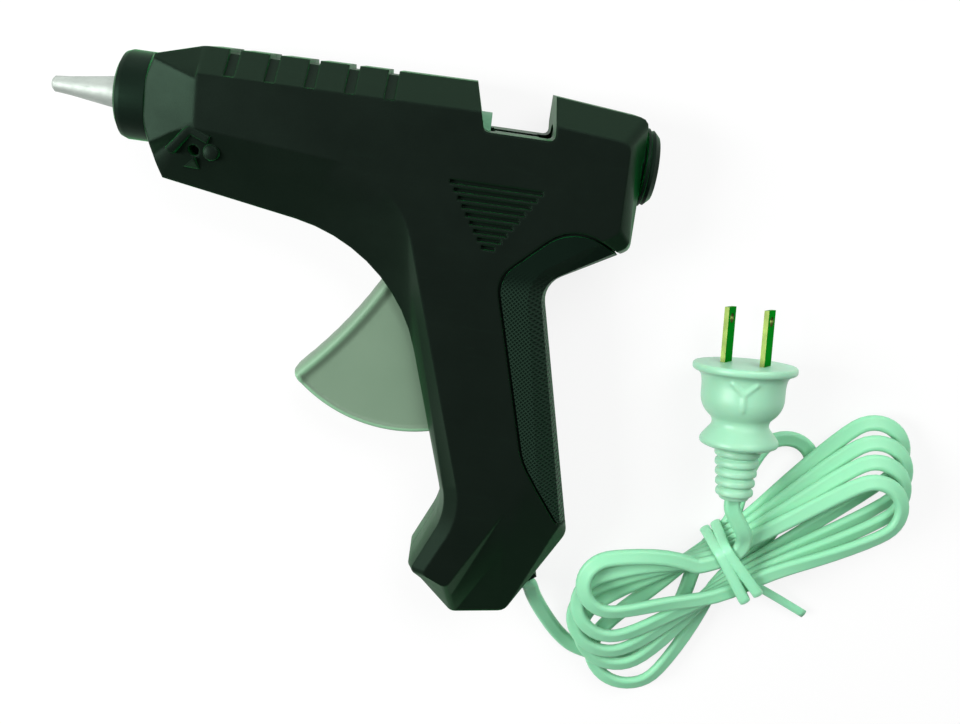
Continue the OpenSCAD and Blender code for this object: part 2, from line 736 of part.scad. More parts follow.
// Cord outlet pieces and wiring

module cord_bush() {
    color(housing_colour) place() at_outlet() difference() {
        translate([-bush_len, -bush_w / 2, -bush_h / 2]) cube([bush_len + 1.6, bush_w, bush_h]);
        translate([-bush_len - 1, -cord_w / 2 - fit_gap, -cord_t / 2 - fit_gap])
            cube([bush_len + 6, cord_w + 2 * fit_gap, cord_t + 2 * fit_gap]);
    }
}

clamp_t = 2.5;

module cord_clamp() {
    color(pale_colour) place() at_outlet() translate([-clamp_at, 0, cord_t / 2 + fit_gap]) difference() {
        translate([-clamp_len / 2, -clamp_w / 2, 0]) cube([clamp_len, clamp_w, clamp_t]);
        for (s = [-1, 1])
            translate([0, s * clamp_screw_y, -1]) cylinder(r = clamp_screw_r + fit_gap, h = clamp_t + 2);
    }
}

module clamp_screws() {
    head = cord_t / 2 + fit_gap + clamp_t;
    color(metal_colour) place() at_outlet() for (s = [-1, 1])
        translate([-clamp_at, s * clamp_screw_y, 0]) {
            translate([0, 0, -7]) cylinder(r = clamp_screw_r, h = 7 + head);
            translate([0, 0, head]) cylinder(r = 2.2, h = 1.6);
        }
}

wire_d = 2.2;
crimp_x = block_x + block_len + 0.4;
crimp_r = 1.5;
crimp_y = -support_r - crimp_r - fit_gap;
crimp_z = 2.5;
crimp_len = 5;
inner_end = cord_exit - cord_dir * cord_inside;
wire_side = [-cord_dir.y, cord_dir.x] * 1.4;
wire_start = inner_end - cord_dir * 0.5;

// Hand-set middle points of a supply wire, on the side s of the split plane
function wire_path(s) = concat(
    [[each wire_start + s * wire_side, 0],
        [each wire_start + s * wire_side - cord_dir * 3, 0],
        [each wire_start + s * wire_side - cord_dir * 6 + [0, 3], s * 2.4],
        [112, -108, s * 7], [115, -94, s * 9.3], [115, -76, s * 9.5], [112, -58, s * 9.5],
        [110, -44, s * 9.5], [109.6, -34, s * 9.5], [106, -25, s * 9.5], [96, -20, s * 9.5],
        [80, -19, s * 9.5], [68, -17, s * 8.5], [58, -14, s * 5]],
    [[crimp_x + crimp_len + 2, crimp_y, s * crimp_z], [crimp_x + crimp_len, crimp_y, s * crimp_z]]);

module lead_wires() {
    color([0.78, 0.80, 0.76]) place() for (s = [-1, 1])
        swept(wire_path(s), [for (p = wire_path(s)) 0], wire_d, wire_d, 8);
}

module wire_crimps() {
    color(brass_colour) place() for (s = [-1, 1])
        translate([0, crimp_y, s * crimp_z]) along_x(crimp_x) cylinder(r = crimp_r, h = crimp_len);
}

// Mains lead: a free stretch, the tied hank, and a last stretch to the plug

floor_z = -half;
cord_rest = floor_z + cord_t / 2 + 0.1;
hank_centre = [200.9, -125.5];
hank_angle = 40;
waist_half = 6.4;
tie_lift = 1.5;
roll_ends = 25;
reach_right = [45.5, 69.5, 66, 62, 58];
fan_right = [27, 7, 2.5, -1, -5];
width_right = [10, 11, 11.4, 10.8, 10.2];
reach_left = [62.5, 59, 57.5, 54, 51];
fan_left = [17, 4, -6, -15, -28];
width_left = [13.5, 13.5, 13, 12, 10];
loops = len(reach_right);
run_share = 0.25;
lobe_rings = 12;

function hank_place(u, v, z) =
    [hank_centre.x + u * cos(hank_angle) - v * sin(hank_angle),
        hank_centre.y + u * sin(hank_angle) + v * cos(hank_angle), z];

// Plan of one lobe from its upper to its lower waist point, s from 0 to 1, opening to +u
function lobe_plan(s, reach, w) = let (straight = reach - w, a = run_share)
    s < a ? [straight * s / a, waist_half + (w - waist_half) * smooth(s / a)] :
    s > 1 - a ? [straight * (1 - s) / a, -waist_half - (w - waist_half) * smooth((1 - s) / a)] :
    [straight, 0] + polar(w, 90 - 180 * (s - a) / (1 - 2 * a));
function turned(p, a) = let (b = a * smooth(min(1, abs(p.x) / 24)))
    [p.x * cos(b) - p.y * sin(b), p.x * sin(b) + p.y * cos(b)];
// How far out along its lobe a point lies, from the waist to the end
function outness(s) = smooth(min(1, min(s, 1 - s) / run_share));
function layer_height(layer, s) = cord_rest + tie_lift * (1 - outness(s) * (layer < 1 ? 1 : 0.4))
    + layer * (layer_waist + (layer_ends - layer_waist) * outness(s));
// The right lobe keeps its layer, then its lower run and the left lobe's climb to the next
function climb(s) = s > 1 - run_share ? 0.5 * smooth((s - 1 + run_share) / run_share) : 0;
function right_point(k, s) = let (p = turned(lobe_plan(s, reach_right[k], width_right[k]), fan_right[k]))
    hank_place(p.x, p.y, layer_height(k + climb(s), s));
function left_point(k, s) = let (p = turned(lobe_plan(s, reach_left[k], width_left[k]), fan_left[k]))
    hank_place(-p.x, -p.y, layer_height(k + 1 - climb(1 - s), s));

// The first run comes in under the left lobes, and the last one ends at the waist
entry_points = [[-30, -15.5], [-20, -8], [-10, 1.6]];
entry_path = [for (p = entry_points) hank_place(p.x, p.y, cord_rest + tie_lift * smooth((p.x + 30) / 30))];
last_ring = lobe_rings - 1;
hank_path = concat(entry_path,
    [for (k = [0:loops - 1]) each concat(
        [for (i = [0:lobe_rings - 1]) right_point(k, i / lobe_rings)],
        [for (i = [0:(k < loops - 1 ? lobe_rings - 1 : last_ring)]) left_point(k, i / lobe_rings)])]);
hank_rolls = concat([0, 0, 0],
    [for (k = [0:loops - 1]) each concat(
        [for (i = [0:lobe_rings - 1]) (k > 0 ? -roll_ends : 0) * outness(i / lobe_rings)],
        [for (i = [0:(k < loops - 1 ? lobe_rings - 1 : last_ring)]) -roll_ends * outness(i / lobe_rings)])]);

// Each free point of the lead: place in plan, and height over its rest on the floor
lead_points = [[136.5, -146.1, 11.4], [139.4, -151.6, 8.2], [143.2, -157.7, 4.8], [147.1, -163.2, 2],
    [151.1, -167.5, 0.4], [155.5, -170.5, 0], [161.6, -172.1, 0], [168, -173, 0]];
bush_out = 2.2;
lead_path = concat(
    [for (d = [-cord_inside, -cord_inside / 2, bush_out, bush_out + 3])
        [each cord_exit + cord_dir * d, -max(d - bush_out, 0) / 2]],
    [for (p = lead_points) [p.x, p.y, cord_rest + p.z]],
    [hank_place(-49, -19.6, cord_rest), hank_place(-40.5, -20.4, cord_rest),
        entry_path[0] - unit(entry_path[1] - entry_path[0]) * 3, entry_path[0]]);

plug_axis = 94.9;
plug_face = [190, -55.6];
plug_len = 43.6;
plug_roll = 34;
plug_pitch = 8;
plug_z = flange_r - half + 0.2;
plug_dir = polar(1, plug_axis);
plug_run = [each plug_dir * cos(plug_pitch), -sin(plug_pitch)];
plug_end = [each plug_face, plug_z] - plug_run * plug_len;
tail_start = hank_path[len(hank_path) - 1];
waist_top = layer_height(loops, 0);
tail_dir = unit(tail_start - hank_path[len(hank_path) - 2]);
tail_path = [tail_start, tail_start + tail_dir * 3, hank_place(-1, waist_half, waist_top),
    hank_place(4.2, waist_half + 0.3, waist_top + 0.4), hank_place(7.6, waist_half + 2.8, waist_top + 1.2),
    hank_place(9, waist_half + 7.6, plug_end.z + 0.4), plug_end - plug_run * 4,
    plug_end - plug_run * fit_gap];

module cord_lead() {
    color(cord_colour) place() swept(lead_path, [for (p = lead_path) 0], cord_w, cord_t, 8);
}

module cord_hank() {
    color(cord_colour) place() swept(hank_path, hank_rolls, cord_w, cord_t, 6);
}

module cord_tail() {
    color(cord_colour) place() swept(tail_path, [for (p = tail_path) 0], cord_w, cord_t, 8);
}

// Least gap of the hank to itself: its two cores are followed as round wires
core_r = cord_t / 2;
core_off = (cord_w - cord_t) / 2;
sub = 3;
core_points = let (along = tangents(hank_path)) [for (i = [0:len(hank_path) - 2]) for (k = [0:sub - 1])
    let (t = k / sub, p = hank_path[i] * (1 - t) + hank_path[i + 1] * t)
    let (dir = unit(along[i] * (1 - t) + along[i + 1] * t), level = unit(cross([0, 0, 1], dir)))
    let (roll = hank_rolls[i] * (1 - t) + hank_rolls[i + 1] * t)
    let (across = level * cos(roll) + cross(dir, level) * sin(roll))
    each [p - across * core_off, p + across * core_off]];
near_index = 10 * sub;
function least_gap() = min([for (i = [0:len(core_points) - 1]) min([far,
    for (j = [i + near_index:1:len(core_points) - 1]) norm(core_points[i] - core_points[j])])]) - 2 * core_r;
function path_length(path) = let (n = len(path) - 1)
    [for (i = [0:n - 1]) norm(path[i + 1] - path[i])] * [for (i = [0:n - 1]) 1];
echo(hank_gap = least_gap(), lead = path_length(lead_path), hank = path_length(hank_path),  // cord_hank
        tail = path_length(tail_path));

// Wire tie round the waist of the hank, with its free end
tie_w = 3.6;
tie_t = 0.9;
tie_half = waist_half + cord_w / 2 + 1.05;
tie_low = 0.1;
tie_high = 2 * cord_t / 2 + tie_lift + loops * layer_waist + 0.42;
tie_pitch = 4.2;

module tie_outline(grow) {
    corners = [[-tie_half - grow, tie_low + tie_t - grow], [tie_half + grow, tie_low + tie_t - grow],
        [tie_half + grow, tie_high + grow], [-tie_half - grow, tie_high + grow]];
    polygon(rounded(corners, [for (c = corners) 1.6 + grow], [3, 3, 3, 3]));
}

module cord_tie() {
    tail_path = [[0, -tie_half, 6], [2.4, -tie_half - 5.2, 5.6],
        [6.5, -tie_half - 14.4, 4], [11.7, -tie_half - 26.7, 2]];
    color(pale_colour) place() translate([hank_centre.x, hank_centre.y, floor_z]) rotate([0, 0, hank_angle]) {
        for (s = [-1, 1])
            translate([s * tie_pitch / 2 - tie_w / 2, 0, 0]) rotate([90, 0, 90])
            linear_extrude(tie_w) difference() {
                tie_outline(tie_t);
                tie_outline(0);
            }
        translate([-tie_pitch / 2, -tie_half - tie_t, 5]) cube([tie_pitch, tie_t, 5]);
        swept([for (p = tail_path) p - [0, tie_t / 2, 0]], [0, 0, 0, 0], tie_w, tie_t, 8);
    }
}

// Plug: flange, tapered cup, collar and ribbed strain relief

relief_ribs = 5;
relief_from = 27.6;
relief_r = [7.2, 5.6];
cup_r = 13;
neck_r = 8.8;
foot_r = 12.3;

module along_plug() {
    translate([plug_face.x, plug_face.y, plug_z]) rotate([0, 0, plug_axis])
        rotate([0, plug_pitch, 0]) rotate([90 - plug_roll, 0, 0])
        rotate([0, -90, 0]) children();
}

module plug_body() {
    pitch = (plug_len - relief_from) / relief_ribs;
    function relief_at(t) =
        relief_r[0] + (relief_r[1] - relief_r[0]) * (t - relief_from) / (plug_len - relief_from);
    ribs = [for (k = [0:relief_ribs - 1]) let (t = relief_from + k * pitch)
        each [[relief_at(t), t], [relief_at(t), t + pitch * 0.6],
            [relief_at(t) - 1.1, t + pitch * 0.6], [relief_at(t) - 1.1, t + pitch]]];
    color(cord_colour) place() along_plug() difference() {
        rotate_extrude() polygon(concat([[0, 0], [flange_r - 0.8, 0], [flange_r, 0.8], [flange_r, 1.8]],
            [[flange_r - 1.2, 2.7], [cup_r + 0.5, 3.8], [cup_r, 6], [cup_r, 11.5], [cup_r - 1, 14.3]],
            [[neck_r + 0.7, 17], [neck_r, 18.8], [neck_r + 0.5, 20.6], [foot_r - 0.6, 23], [foot_r, 24]],
            [[foot_r, 25.4], [foot_r - 1.4, 26.4]], ribs, [[0, plug_len]]));
        for (s = [-1, 1])
            translate([s * blade_gap / 2 - 0.8, -3.25, -1]) cube([1.6, 6.5, 9]);
    }
}

blade_w = 6.3;
blade_t = 1.5;
blade_seat = 7.5;
blade_hole_r = 1.6;

module plug_blades() {
    color(brass_colour) place() along_plug() for (s = [-1, 1])
        translate([s * blade_gap / 2, 0, 0]) difference() {
            translate([-blade_t / 2, -blade_w / 2, -blade_len])
                cube([blade_t, blade_w, blade_len + blade_seat]);
            translate([-5, 0, 3.5 - blade_len]) rotate([0, 90, 0]) cylinder(r = blade_hole_r, h = 10);
        }
}

left_housing();
right_housing();
rear_grip();
nozzle();
nozzle_collar();
melt_chamber();
front_support();
rear_support();
heater_element();
heater_clip();
inlet_sleeve();
sleeve_clamp();
inlet_ring();
feed_carriage();
grip_pawl();
pawl_pin();
trigger();
trigger_pin();
return_spring();
housing_screws();
cord_bush();
cord_clamp();
clamp_screws();
lead_wires();
wire_crimps();
cord_lead();
cord_hank();
cord_tail();
cord_tie();
plug_body();
plug_blades();
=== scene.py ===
"""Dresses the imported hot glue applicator: its mains lead and plug, its mouldings and its metal."""

from math import cos, pi, radians, sin

import bmesh
import bpy
from mathutils import Matrix, Vector


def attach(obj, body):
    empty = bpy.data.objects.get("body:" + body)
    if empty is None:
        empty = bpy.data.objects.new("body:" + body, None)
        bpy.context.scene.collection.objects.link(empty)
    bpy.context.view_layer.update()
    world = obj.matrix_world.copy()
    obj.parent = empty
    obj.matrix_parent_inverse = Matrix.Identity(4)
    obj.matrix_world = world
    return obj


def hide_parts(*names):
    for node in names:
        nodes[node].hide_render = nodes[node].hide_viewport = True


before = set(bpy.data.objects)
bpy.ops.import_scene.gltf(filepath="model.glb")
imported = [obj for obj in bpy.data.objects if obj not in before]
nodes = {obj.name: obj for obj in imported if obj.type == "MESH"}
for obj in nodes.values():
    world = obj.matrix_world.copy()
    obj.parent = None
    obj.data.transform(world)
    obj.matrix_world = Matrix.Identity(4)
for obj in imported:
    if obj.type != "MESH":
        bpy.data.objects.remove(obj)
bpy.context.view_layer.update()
BODY = "tool_body"

# Drawing frame: millimetres from the nose, the barrel's axis and the split plane
HALF = 16.5
ORIGIN = Vector((-61.1, 65.9589, HALF))


def row(x, y, z=0.0):
    """A point of the drawing frame in the model's frame, in metres."""
    return (Vector((x, y, z)) + ORIGIN) * 0.001


def turn(v, angle):
    """A flat vector turned by an angle in degrees."""
    a = radians(angle)
    return Vector((v[0] * cos(a) - v[1] * sin(a), v[0] * sin(a) + v[1] * cos(a)))


def smooth(t):
    return t * t * (3 - 2 * t)


# Camera: the photograph's place, tilt and focal length

CAMERA_AT = row(94.5, 24.2, 317)
CAMERA_RIGHT = Vector((0.9903, 0.1392, 0.0)).normalized()
CAMERA_FORWARD = Vector((0.0385, -0.2737, -0.9610)).normalized()
SENSOR_W = 36
PICTURE_W = 960
FOCAL_PIXELS = 1050
SHIFT_PIXELS = -1.6
NEAR_CLIP = 0.01


def place_camera():
    data = bpy.data.cameras.new("photo_camera")
    data.sensor_width = SENSOR_W
    data.lens = SENSOR_W * FOCAL_PIXELS / PICTURE_W
    data.shift_y = SHIFT_PIXELS / PICTURE_W
    data.clip_start = NEAR_CLIP
    camera = bpy.data.objects.new("photo_camera", data)
    bpy.context.collection.objects.link(camera)
    back = -CAMERA_FORWARD
    up = back.cross(CAMERA_RIGHT).normalized()
    right = up.cross(back)
    camera.matrix_world = Matrix.Translation(CAMERA_AT) @ Matrix((right, up, back)).transposed().to_4x4()
    bpy.context.scene.camera = camera


place_camera()

# Mains lead: the route of the solids, drawn finer

CORD_W = 5.3
CORD_T = 2.7
CORE_GROOVE = 0.38
CORE_ANGLES = (-95, -60, -20, 20, 60, 95)
FLOOR_GAP = 0.1
CORD_REST = -HALF + CORD_T / 2 + FLOOR_GAP
SOLE_REAR = Vector((126.569, -147.4))
HEEL = Vector((142.369, -117))
CORD_ANGLE = -52
CORD_DIR = turn((1, 0), CORD_ANGLE)
EXIT_SETBACK = 10.8
CORD_EXIT = SOLE_REAR + (HEEL - SOLE_REAR).normalized() * EXIT_SETBACK
CORD_INSIDE = 24
BUSH_OUT = 2.2
BUSH_LEAD = 3
LEAD_POINTS = [
    (136.5, -146.1, 11.4),
    (139.4, -151.6, 8.2),
    (143.2, -157.7, 4.8),
    (147.1, -163.2, 2),
    (151.1, -167.5, 0.4),
    (155.5, -170.5, 0),
    (161.6, -172.1, 0),
    (168, -173, 0),
]
LEAD_STEPS = 5
JOIN_POINTS = [(-49, -19.6), (-40.5, -20.4)]
JOIN_GAP = 3
ENTRY_POINTS = [(-30, -15.5), (-20, -8), (-10, 1.6)]
ENTRY_RUN = 30

# Hank: five loops to each side of a tied waist, given by reach, fan angle and half width
HANK_CENTRE = Vector((200.9, -125.5))
HANK_ANGLE = 40
WAIST_HALF = 6.4
TIE_LIFT = 1.5
ROLL_ENDS = 25
LAYER_WAIST = 3.4
LAYER_ENDS = 4.2
UPPER_SINK = 0.4
CLIMB = 0.5
REACH_RIGHT = [45.5, 69.5, 66, 62, 58]
FAN_RIGHT = [27, 7, 2.5, -1, -5]
WIDTH_RIGHT = [10, 11, 11.4, 10.8, 10.2]
REACH_LEFT = [62.5, 59, 57.5, 54, 51]
FAN_LEFT = [17, 4, -6, -15, -28]
WIDTH_LEFT = [13.5, 13.5, 13, 12, 10]
FAN_RUN = 24
RUN_SHARE = 0.25
LOBE_STEPS = 36
LAST_SHARE = 11 / 12
PRIOR_SHARE = 10 / 12
EASING_PASSES = 3

# Tail: from the last loop up to the plug's end
TAIL_POINTS = [(-1, 0, 0), (4.2, 0.3, 0.4), (7.6, 2.8, 1.2)]
TAIL_BEND = (9, 7.6, 0.4)
TAIL_STUB = 4
TAIL_STEPS = 6
ROLL_OFF = 8
PLUG_AXIS = 94.9
PLUG_FACE = Vector((190, -55.6))
PLUG_LEN = 43.6
PLUG_ROLL = 34
PLUG_PITCH = 8
PLUG_Z = 0.0
PLUG_DIR = turn((1, 0), PLUG_AXIS)
PLUG_RUN = (PLUG_DIR * cos(radians(PLUG_PITCH))).to_3d() - Vector((0, 0, sin(radians(PLUG_PITCH))))
PLUG_END = Vector((PLUG_FACE.x, PLUG_FACE.y, PLUG_Z)) - PLUG_RUN * PLUG_LEN


def hank_place(u, v, z):
    p = HANK_CENTRE + turn((u, v), HANK_ANGLE)
    return Vector((p.x, p.y, z))


def lobe_plan(s, reach, w):
    """Plan of one lobe from its upper to its lower waist point, s from 0 to 1."""
    straight = reach - w
    a = RUN_SHARE
    if s < a:
        return Vector((straight * s / a, WAIST_HALF + (w - WAIST_HALF) * smooth(s / a)))
    if s > 1 - a:
        return Vector((straight * (1 - s) / a, -WAIST_HALF - (w - WAIST_HALF) * smooth((1 - s) / a)))
    return Vector((straight, 0)) + turn((w, 0), 90 - 180 * (s - a) / (1 - 2 * a))


def fanned(p, angle):
    return turn(p, angle * smooth(min(1, abs(p.x) / FAN_RUN)))


def outness(s):
    """Share of the way from the waist to the far end of a lobe."""
    return smooth(min(1, min(s, 1 - s) / RUN_SHARE))


def layer_height(layer, s):
    lift = TIE_LIFT * (1 - outness(s) * (1 if layer < 1 else UPPER_SINK))
    return CORD_REST + lift + layer * (LAYER_WAIST + (LAYER_ENDS - LAYER_WAIST) * outness(s))


def climb(s):
    return CLIMB * smooth((s - 1 + RUN_SHARE) / RUN_SHARE) if s > 1 - RUN_SHARE else 0.0


def right_point(k, s):
    p = fanned(lobe_plan(s, REACH_RIGHT[k], WIDTH_RIGHT[k]), FAN_RIGHT[k])
    return hank_place(p.x, p.y, layer_height(k + climb(s), s))


def left_point(k, s):
    p = fanned(lobe_plan(s, REACH_LEFT[k], WIDTH_LEFT[k]), FAN_LEFT[k])
    return hank_place(-p.x, -p.y, layer_height(k + 1 - climb(1 - s), s))


def through(points, steps):
    """Points of a smooth curve through the given ones, each span in so many steps."""
    out = []
    for i in range(len(points) - 1):
        p0 = points[max(i - 1, 0)]
        p1 = points[i]
        p2 = points[i + 1]
        p3 = points[min(i + 2, len(points) - 1)]
        for k in range(steps):
            t = k / steps
            a = 2 * p1
            b = (p2 - p0) * t
            c = (2 * p0 - 5 * p1 + 4 * p2 - p3) * t * t
            d = (3 * p1 - p0 - 3 * p2 + p3) * t * t * t
            out.append((a + b + c + d) / 2)
    return out + [points[-1]]


def eased(values):
    """The values with each inner one drawn towards its neighbours."""
    inner = [(values[i - 1] + 2 * values[i] + values[i + 1]) / 4 for i in range(1, len(values) - 1)]
    return [values[0]] + inner + [values[-1]]


def lead_start():
    """The lead from inside the foot, over the floor and into the hank's waist."""
    inside = []
    for d in (-CORD_INSIDE, -CORD_INSIDE / 2, BUSH_OUT, BUSH_OUT + BUSH_LEAD):
        p = CORD_EXIT + CORD_DIR * d
        inside.append(Vector((p.x, p.y, -max(d - BUSH_OUT, 0) / 2)))
    free = [Vector((x, y, CORD_REST + z)) for x, y, z in LEAD_POINTS]
    join = [hank_place(u, v, CORD_REST) for u, v in JOIN_POINTS]
    entry = []
    for u, v in ENTRY_POINTS:
        entry.append(hank_place(u, v, CORD_REST + TIE_LIFT * smooth((u + ENTRY_RUN) / ENTRY_RUN)))
    join.append(entry[0] - (entry[1] - entry[0]).normalized() * JOIN_GAP)
    return through(inside + free + join + entry + [right_point(0, 0)], LEAD_STEPS)[:-1]


def lead_tail(loops):
    """The lead from the last loop to the plug."""
    top = layer_height(loops, 0)
    start = left_point(loops - 1, LAST_SHARE)
    onward = (start - left_point(loops - 1, PRIOR_SHARE)).normalized()
    tail = [start, start + onward * JOIN_GAP]
    tail += [hank_place(u, WAIST_HALF + out, top + rise) for u, out, rise in TAIL_POINTS]
    tail.append(hank_place(TAIL_BEND[0], WAIST_HALF + TAIL_BEND[1], PLUG_END.z + TAIL_BEND[2]))
    return through(tail + [PLUG_END - PLUG_RUN * TAIL_STUB, PLUG_END], TAIL_STEPS)


def lead_route():
    """The whole lead from inside the foot to the plug: points and the roll at each."""
    path = lead_start()
    rolls = [0.0] * len(path)
    loops = len(REACH_RIGHT)
    for k in range(loops):
        for i in range(LOBE_STEPS):
            s = i / LOBE_STEPS
            path.append(right_point(k, s))
            rolls.append(-ROLL_ENDS * outness(s) if k > 0 else 0.0)
        last = LOBE_STEPS if k < loops - 1 else round(LOBE_STEPS * LAST_SHARE)
        for i in range(last):
            s = i / LOBE_STEPS
            path.append(left_point(k, s))
            rolls.append(-ROLL_ENDS * outness(s))
    first_roll = rolls[-1]
    for i, p in enumerate(lead_tail(loops)):
        path.append(p)
        rolls.append(first_roll * max(0, 1 - i / ROLL_OFF))
    for _ in range(EASING_PASSES):
        path = eased(path)
        rolls = eased(rolls)
    return path, rolls


def twin_section():
    """Outline of the flat twin lead: two round cores side by side, with a groove between them."""
    r = CORD_T / 2
    off = (CORD_W - CORD_T) / 2
    points = []
    for side, start in ((1, 0), (-1, 180)):
        angles = [radians(start + a) for a in CORE_ANGLES]
        points += [(side * off + r * cos(a), r * sin(a)) for a in angles]
        points.append((0.0, side * (r - CORE_GROOVE)))
    return points


def link(name, bm, smooth_faces=True):
    """Turns a built mesh into an object of the scene."""
    mesh = bpy.data.meshes.new(name)
    bmesh.ops.recalc_face_normals(bm, faces=bm.faces[:])
    bm.to_mesh(mesh)
    bm.free()
    if smooth_faces:
        mesh.polygons.foreach_set("use_smooth", [True] * len(mesh.polygons))
    obj = bpy.data.objects.new(name, mesh)
    bpy.context.collection.objects.link(obj)
    return obj


def heading(path, i):
    return (path[min(i + 1, len(path) - 1)] - path[max(i - 1, 0)]).normalized()


def bridge(bm, rings, closed=False):
    """Skins a row of equal rings, with end caps unless the row closes on itself."""
    n = len(rings[0])
    following = rings[1:] + rings[:1] if closed else rings[1:]
    for one, two in zip(rings, following):
        for k in range(n):
            j = (k + 1) % n
            bm.faces.new((one[k], one[j], two[j], two[k]))
    if not closed:
        bm.faces.new(rings[0][::-1])
        bm.faces.new(rings[-1])


def swept(name, path, rolls, section):
    """A capped tube of one section along a path, in drawing millimetres."""
    bm = bmesh.new()
    rings = []
    for i, p in enumerate(path):
        along = heading(path, i)
        level = Vector((0, 0, 1)).cross(along).normalized()
        raised = along.cross(level)
        a = radians(rolls[i])
        across = level * cos(a) + raised * sin(a)
        up = along.cross(across)
        rings.append([bm.verts.new(row(*(p + across * x + up * y))) for x, y in section])
    bridge(bm, rings)
    return link(name, bm)


cord_path, cord_rolls = lead_route()
mains_lead = swept("mains_lead", cord_path, cord_rolls, twin_section())
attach(mains_lead, BODY)
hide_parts("cord_lead", "cord_hank", "cord_tail")


def add_turned(bm, profile, turns, place, closed=False):
    """Adds a turned form from (radius, height) pairs in millimetres; place sets each point."""
    rings = []
    for r, h in profile:
        if r < 1e-6:
            rings.append([bm.verts.new(place(Vector((0, 0, h))))])
            continue
        ring = []
        for k in range(turns):
            a = 2 * pi * k / turns
            ring.append(bm.verts.new(place(Vector((r * cos(a), r * sin(a), h)))))
        rings.append(ring)
    following = rings[1:] + rings[:1] if closed else rings[1:]
    for one, two in zip(rings, following):
        for k in range(turns):
            j = (k + 1) % turns
            if len(one) == 1:
                bm.faces.new((one[0], two[j], two[k]))
            elif len(two) == 1:
                bm.faces.new((one[k], one[j], two[0]))
            else:
                bm.faces.new((one[k], one[j], two[j], two[k]))


CORNER_SHARE = 0.49


def rounded_profile(corners, steps):
    """Profile points with each inner corner (radius, height, rounding) turned into an arc."""
    out = []
    for i, (x, y, r) in enumerate(corners):
        c = Vector((x, y))
        if r <= 0 or i in (0, len(corners) - 1):
            out.append((x, y))
            continue
        a = Vector(corners[i - 1][:2]) - c
        b = Vector(corners[i + 1][:2]) - c
        reach = min(r, a.length * CORNER_SHARE, b.length * CORNER_SHARE)
        p = c + a.normalized() * reach
        q = c + b.normalized() * reach
        for k in range(steps + 1):
            t = k / steps
            m = p * (1 - t) ** 2 + c * 2 * t * (1 - t) + q * t * t
            out.append((m.x, m.y))
    return out


# Plug: flange, cup with a forked rib, waist, foot ring and ribbed strain relief

PLUG_TURN = (
    Matrix.Translation(row(PLUG_FACE.x, PLUG_FACE.y, PLUG_Z))
    @ Matrix.Rotation(radians(PLUG_AXIS), 4, "Z")
    @ Matrix.Rotation(radians(PLUG_PITCH), 4, "Y")
    @ Matrix.Rotation(radians(90 - PLUG_ROLL), 4, "X")
    @ Matrix.Rotation(radians(-90), 4, "Y")
)


def closer(profile, low, high, step):
    """The profile with extra points between two heights, no further apart than step."""
    out = [profile[0]]
    for a, b in zip(profile, profile[1:]):
        run = Vector(b) - Vector(a)
        count = 1
        if low < (a[1] + b[1]) / 2 < high:
            count = max(1, round(run.length / step))
        for k in range(1, count + 1):
            m = Vector(a) + run * k / count
            out.append((m.x, m.y))
    return out


PLUG_CORNERS = [
    (0, 0.0, 0), (16.2, 0, 0.9), (16.3, 2.2, 0.9), (13.6, 3.2, 1.4), (13, 6, 2), (13, 12, 3),
    (11.6, 15.2, 2), (9, 17.6, 2), (8.8, 19.6, 2), (11.4, 22.8, 1.6), (12.3, 24, 0.8),
    (12.3, 25.6, 0.8), (9.4, 26.8, 0.8),
]
PLUG_SIDES = 144
PLUG_ARC_STEPS = 3
RELIEF_FROM = 27.6
RELIEF_RIBS = 5
RELIEF_R = 7.2
RELIEF_TAPER = 1.6
RIB_SHAPE = [(-1.0, -0.25, 0.5), (0, 0, 0.6), (0, 0.5, 0.6), (-1.0, 0.66, 0.5)]
RELIEF_END = [(4.4, PLUG_LEN, 0.3), (0, PLUG_LEN, 0)]
CUP_FROM = 3.4
CUP_TO = 15.0
CUP_STEP = 0.55
CUP_INNER = 8
FORK_LINES = [((0.0, 8.2), (0.0, 13.2)), ((0.0, 8.2), (-3.6, 4.9)), ((0.0, 8.2), (3.6, 4.9))]
FORK_HIGH = 0.55
FORK_WIDE = 1.1
FORK_LOOKS = Vector((-0.25, 0.2, 1.0))


def fork_height(x, h):
    """Height of the forked rib on the plug's cup, x round the cup and h along it."""
    p = Vector((x, h))
    gaps = []
    for a, b in FORK_LINES:
        a = Vector(a)
        run = Vector(b) - a
        t = min(1, max(0, (p - a).dot(run) / run.length_squared))
        gaps.append((p - a - run * t).length)
    return FORK_HIGH * smooth(max(0.0, 1 - min(gaps) / FORK_WIDE))


def raise_fork(plug, facing):
    """Moves the cup's points out to the forked rib, which looks the way given."""
    middle = facing.to_2d().normalized()
    aside = Vector((-middle.y, middle.x))
    for vertex in plug.data.vertices:
        flat = vertex.co.to_2d() * 1000
        if flat.length < CUP_INNER or flat.dot(middle) < 0:
            continue
        lift = fork_height(flat.dot(aside), vertex.co.z * 1000)
        vertex.co += (flat.normalized() * lift * 0.001).to_3d()


def make_plug():
    """The plug's moulding, turned about its own axis and then laid in its place."""
    corners = list(PLUG_CORNERS)
    pitch = (PLUG_LEN - RELIEF_FROM) / RELIEF_RIBS
    for k in range(RELIEF_RIBS):
        t = RELIEF_FROM + k * pitch
        r = RELIEF_R - RELIEF_TAPER * k / RELIEF_RIBS
        corners += [(r + out, t + share * pitch, rounding) for out, share, rounding in RIB_SHAPE]
    outline = rounded_profile(corners + RELIEF_END, PLUG_ARC_STEPS)
    bm = bmesh.new()
    add_turned(bm, closer(outline, CUP_FROM, CUP_TO, CUP_STEP), PLUG_SIDES, lambda v: v * 0.001)
    plug = link("plug_moulding", bm)
    raise_fork(plug, PLUG_TURN.to_3x3().inverted() @ FORK_LOOKS)
    plug.data.transform(PLUG_TURN)
    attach(plug, BODY)
    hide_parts("plug_body")
    return plug


plug_moulding = make_plug()

# Tie: two turns round the hank's waist and one free end

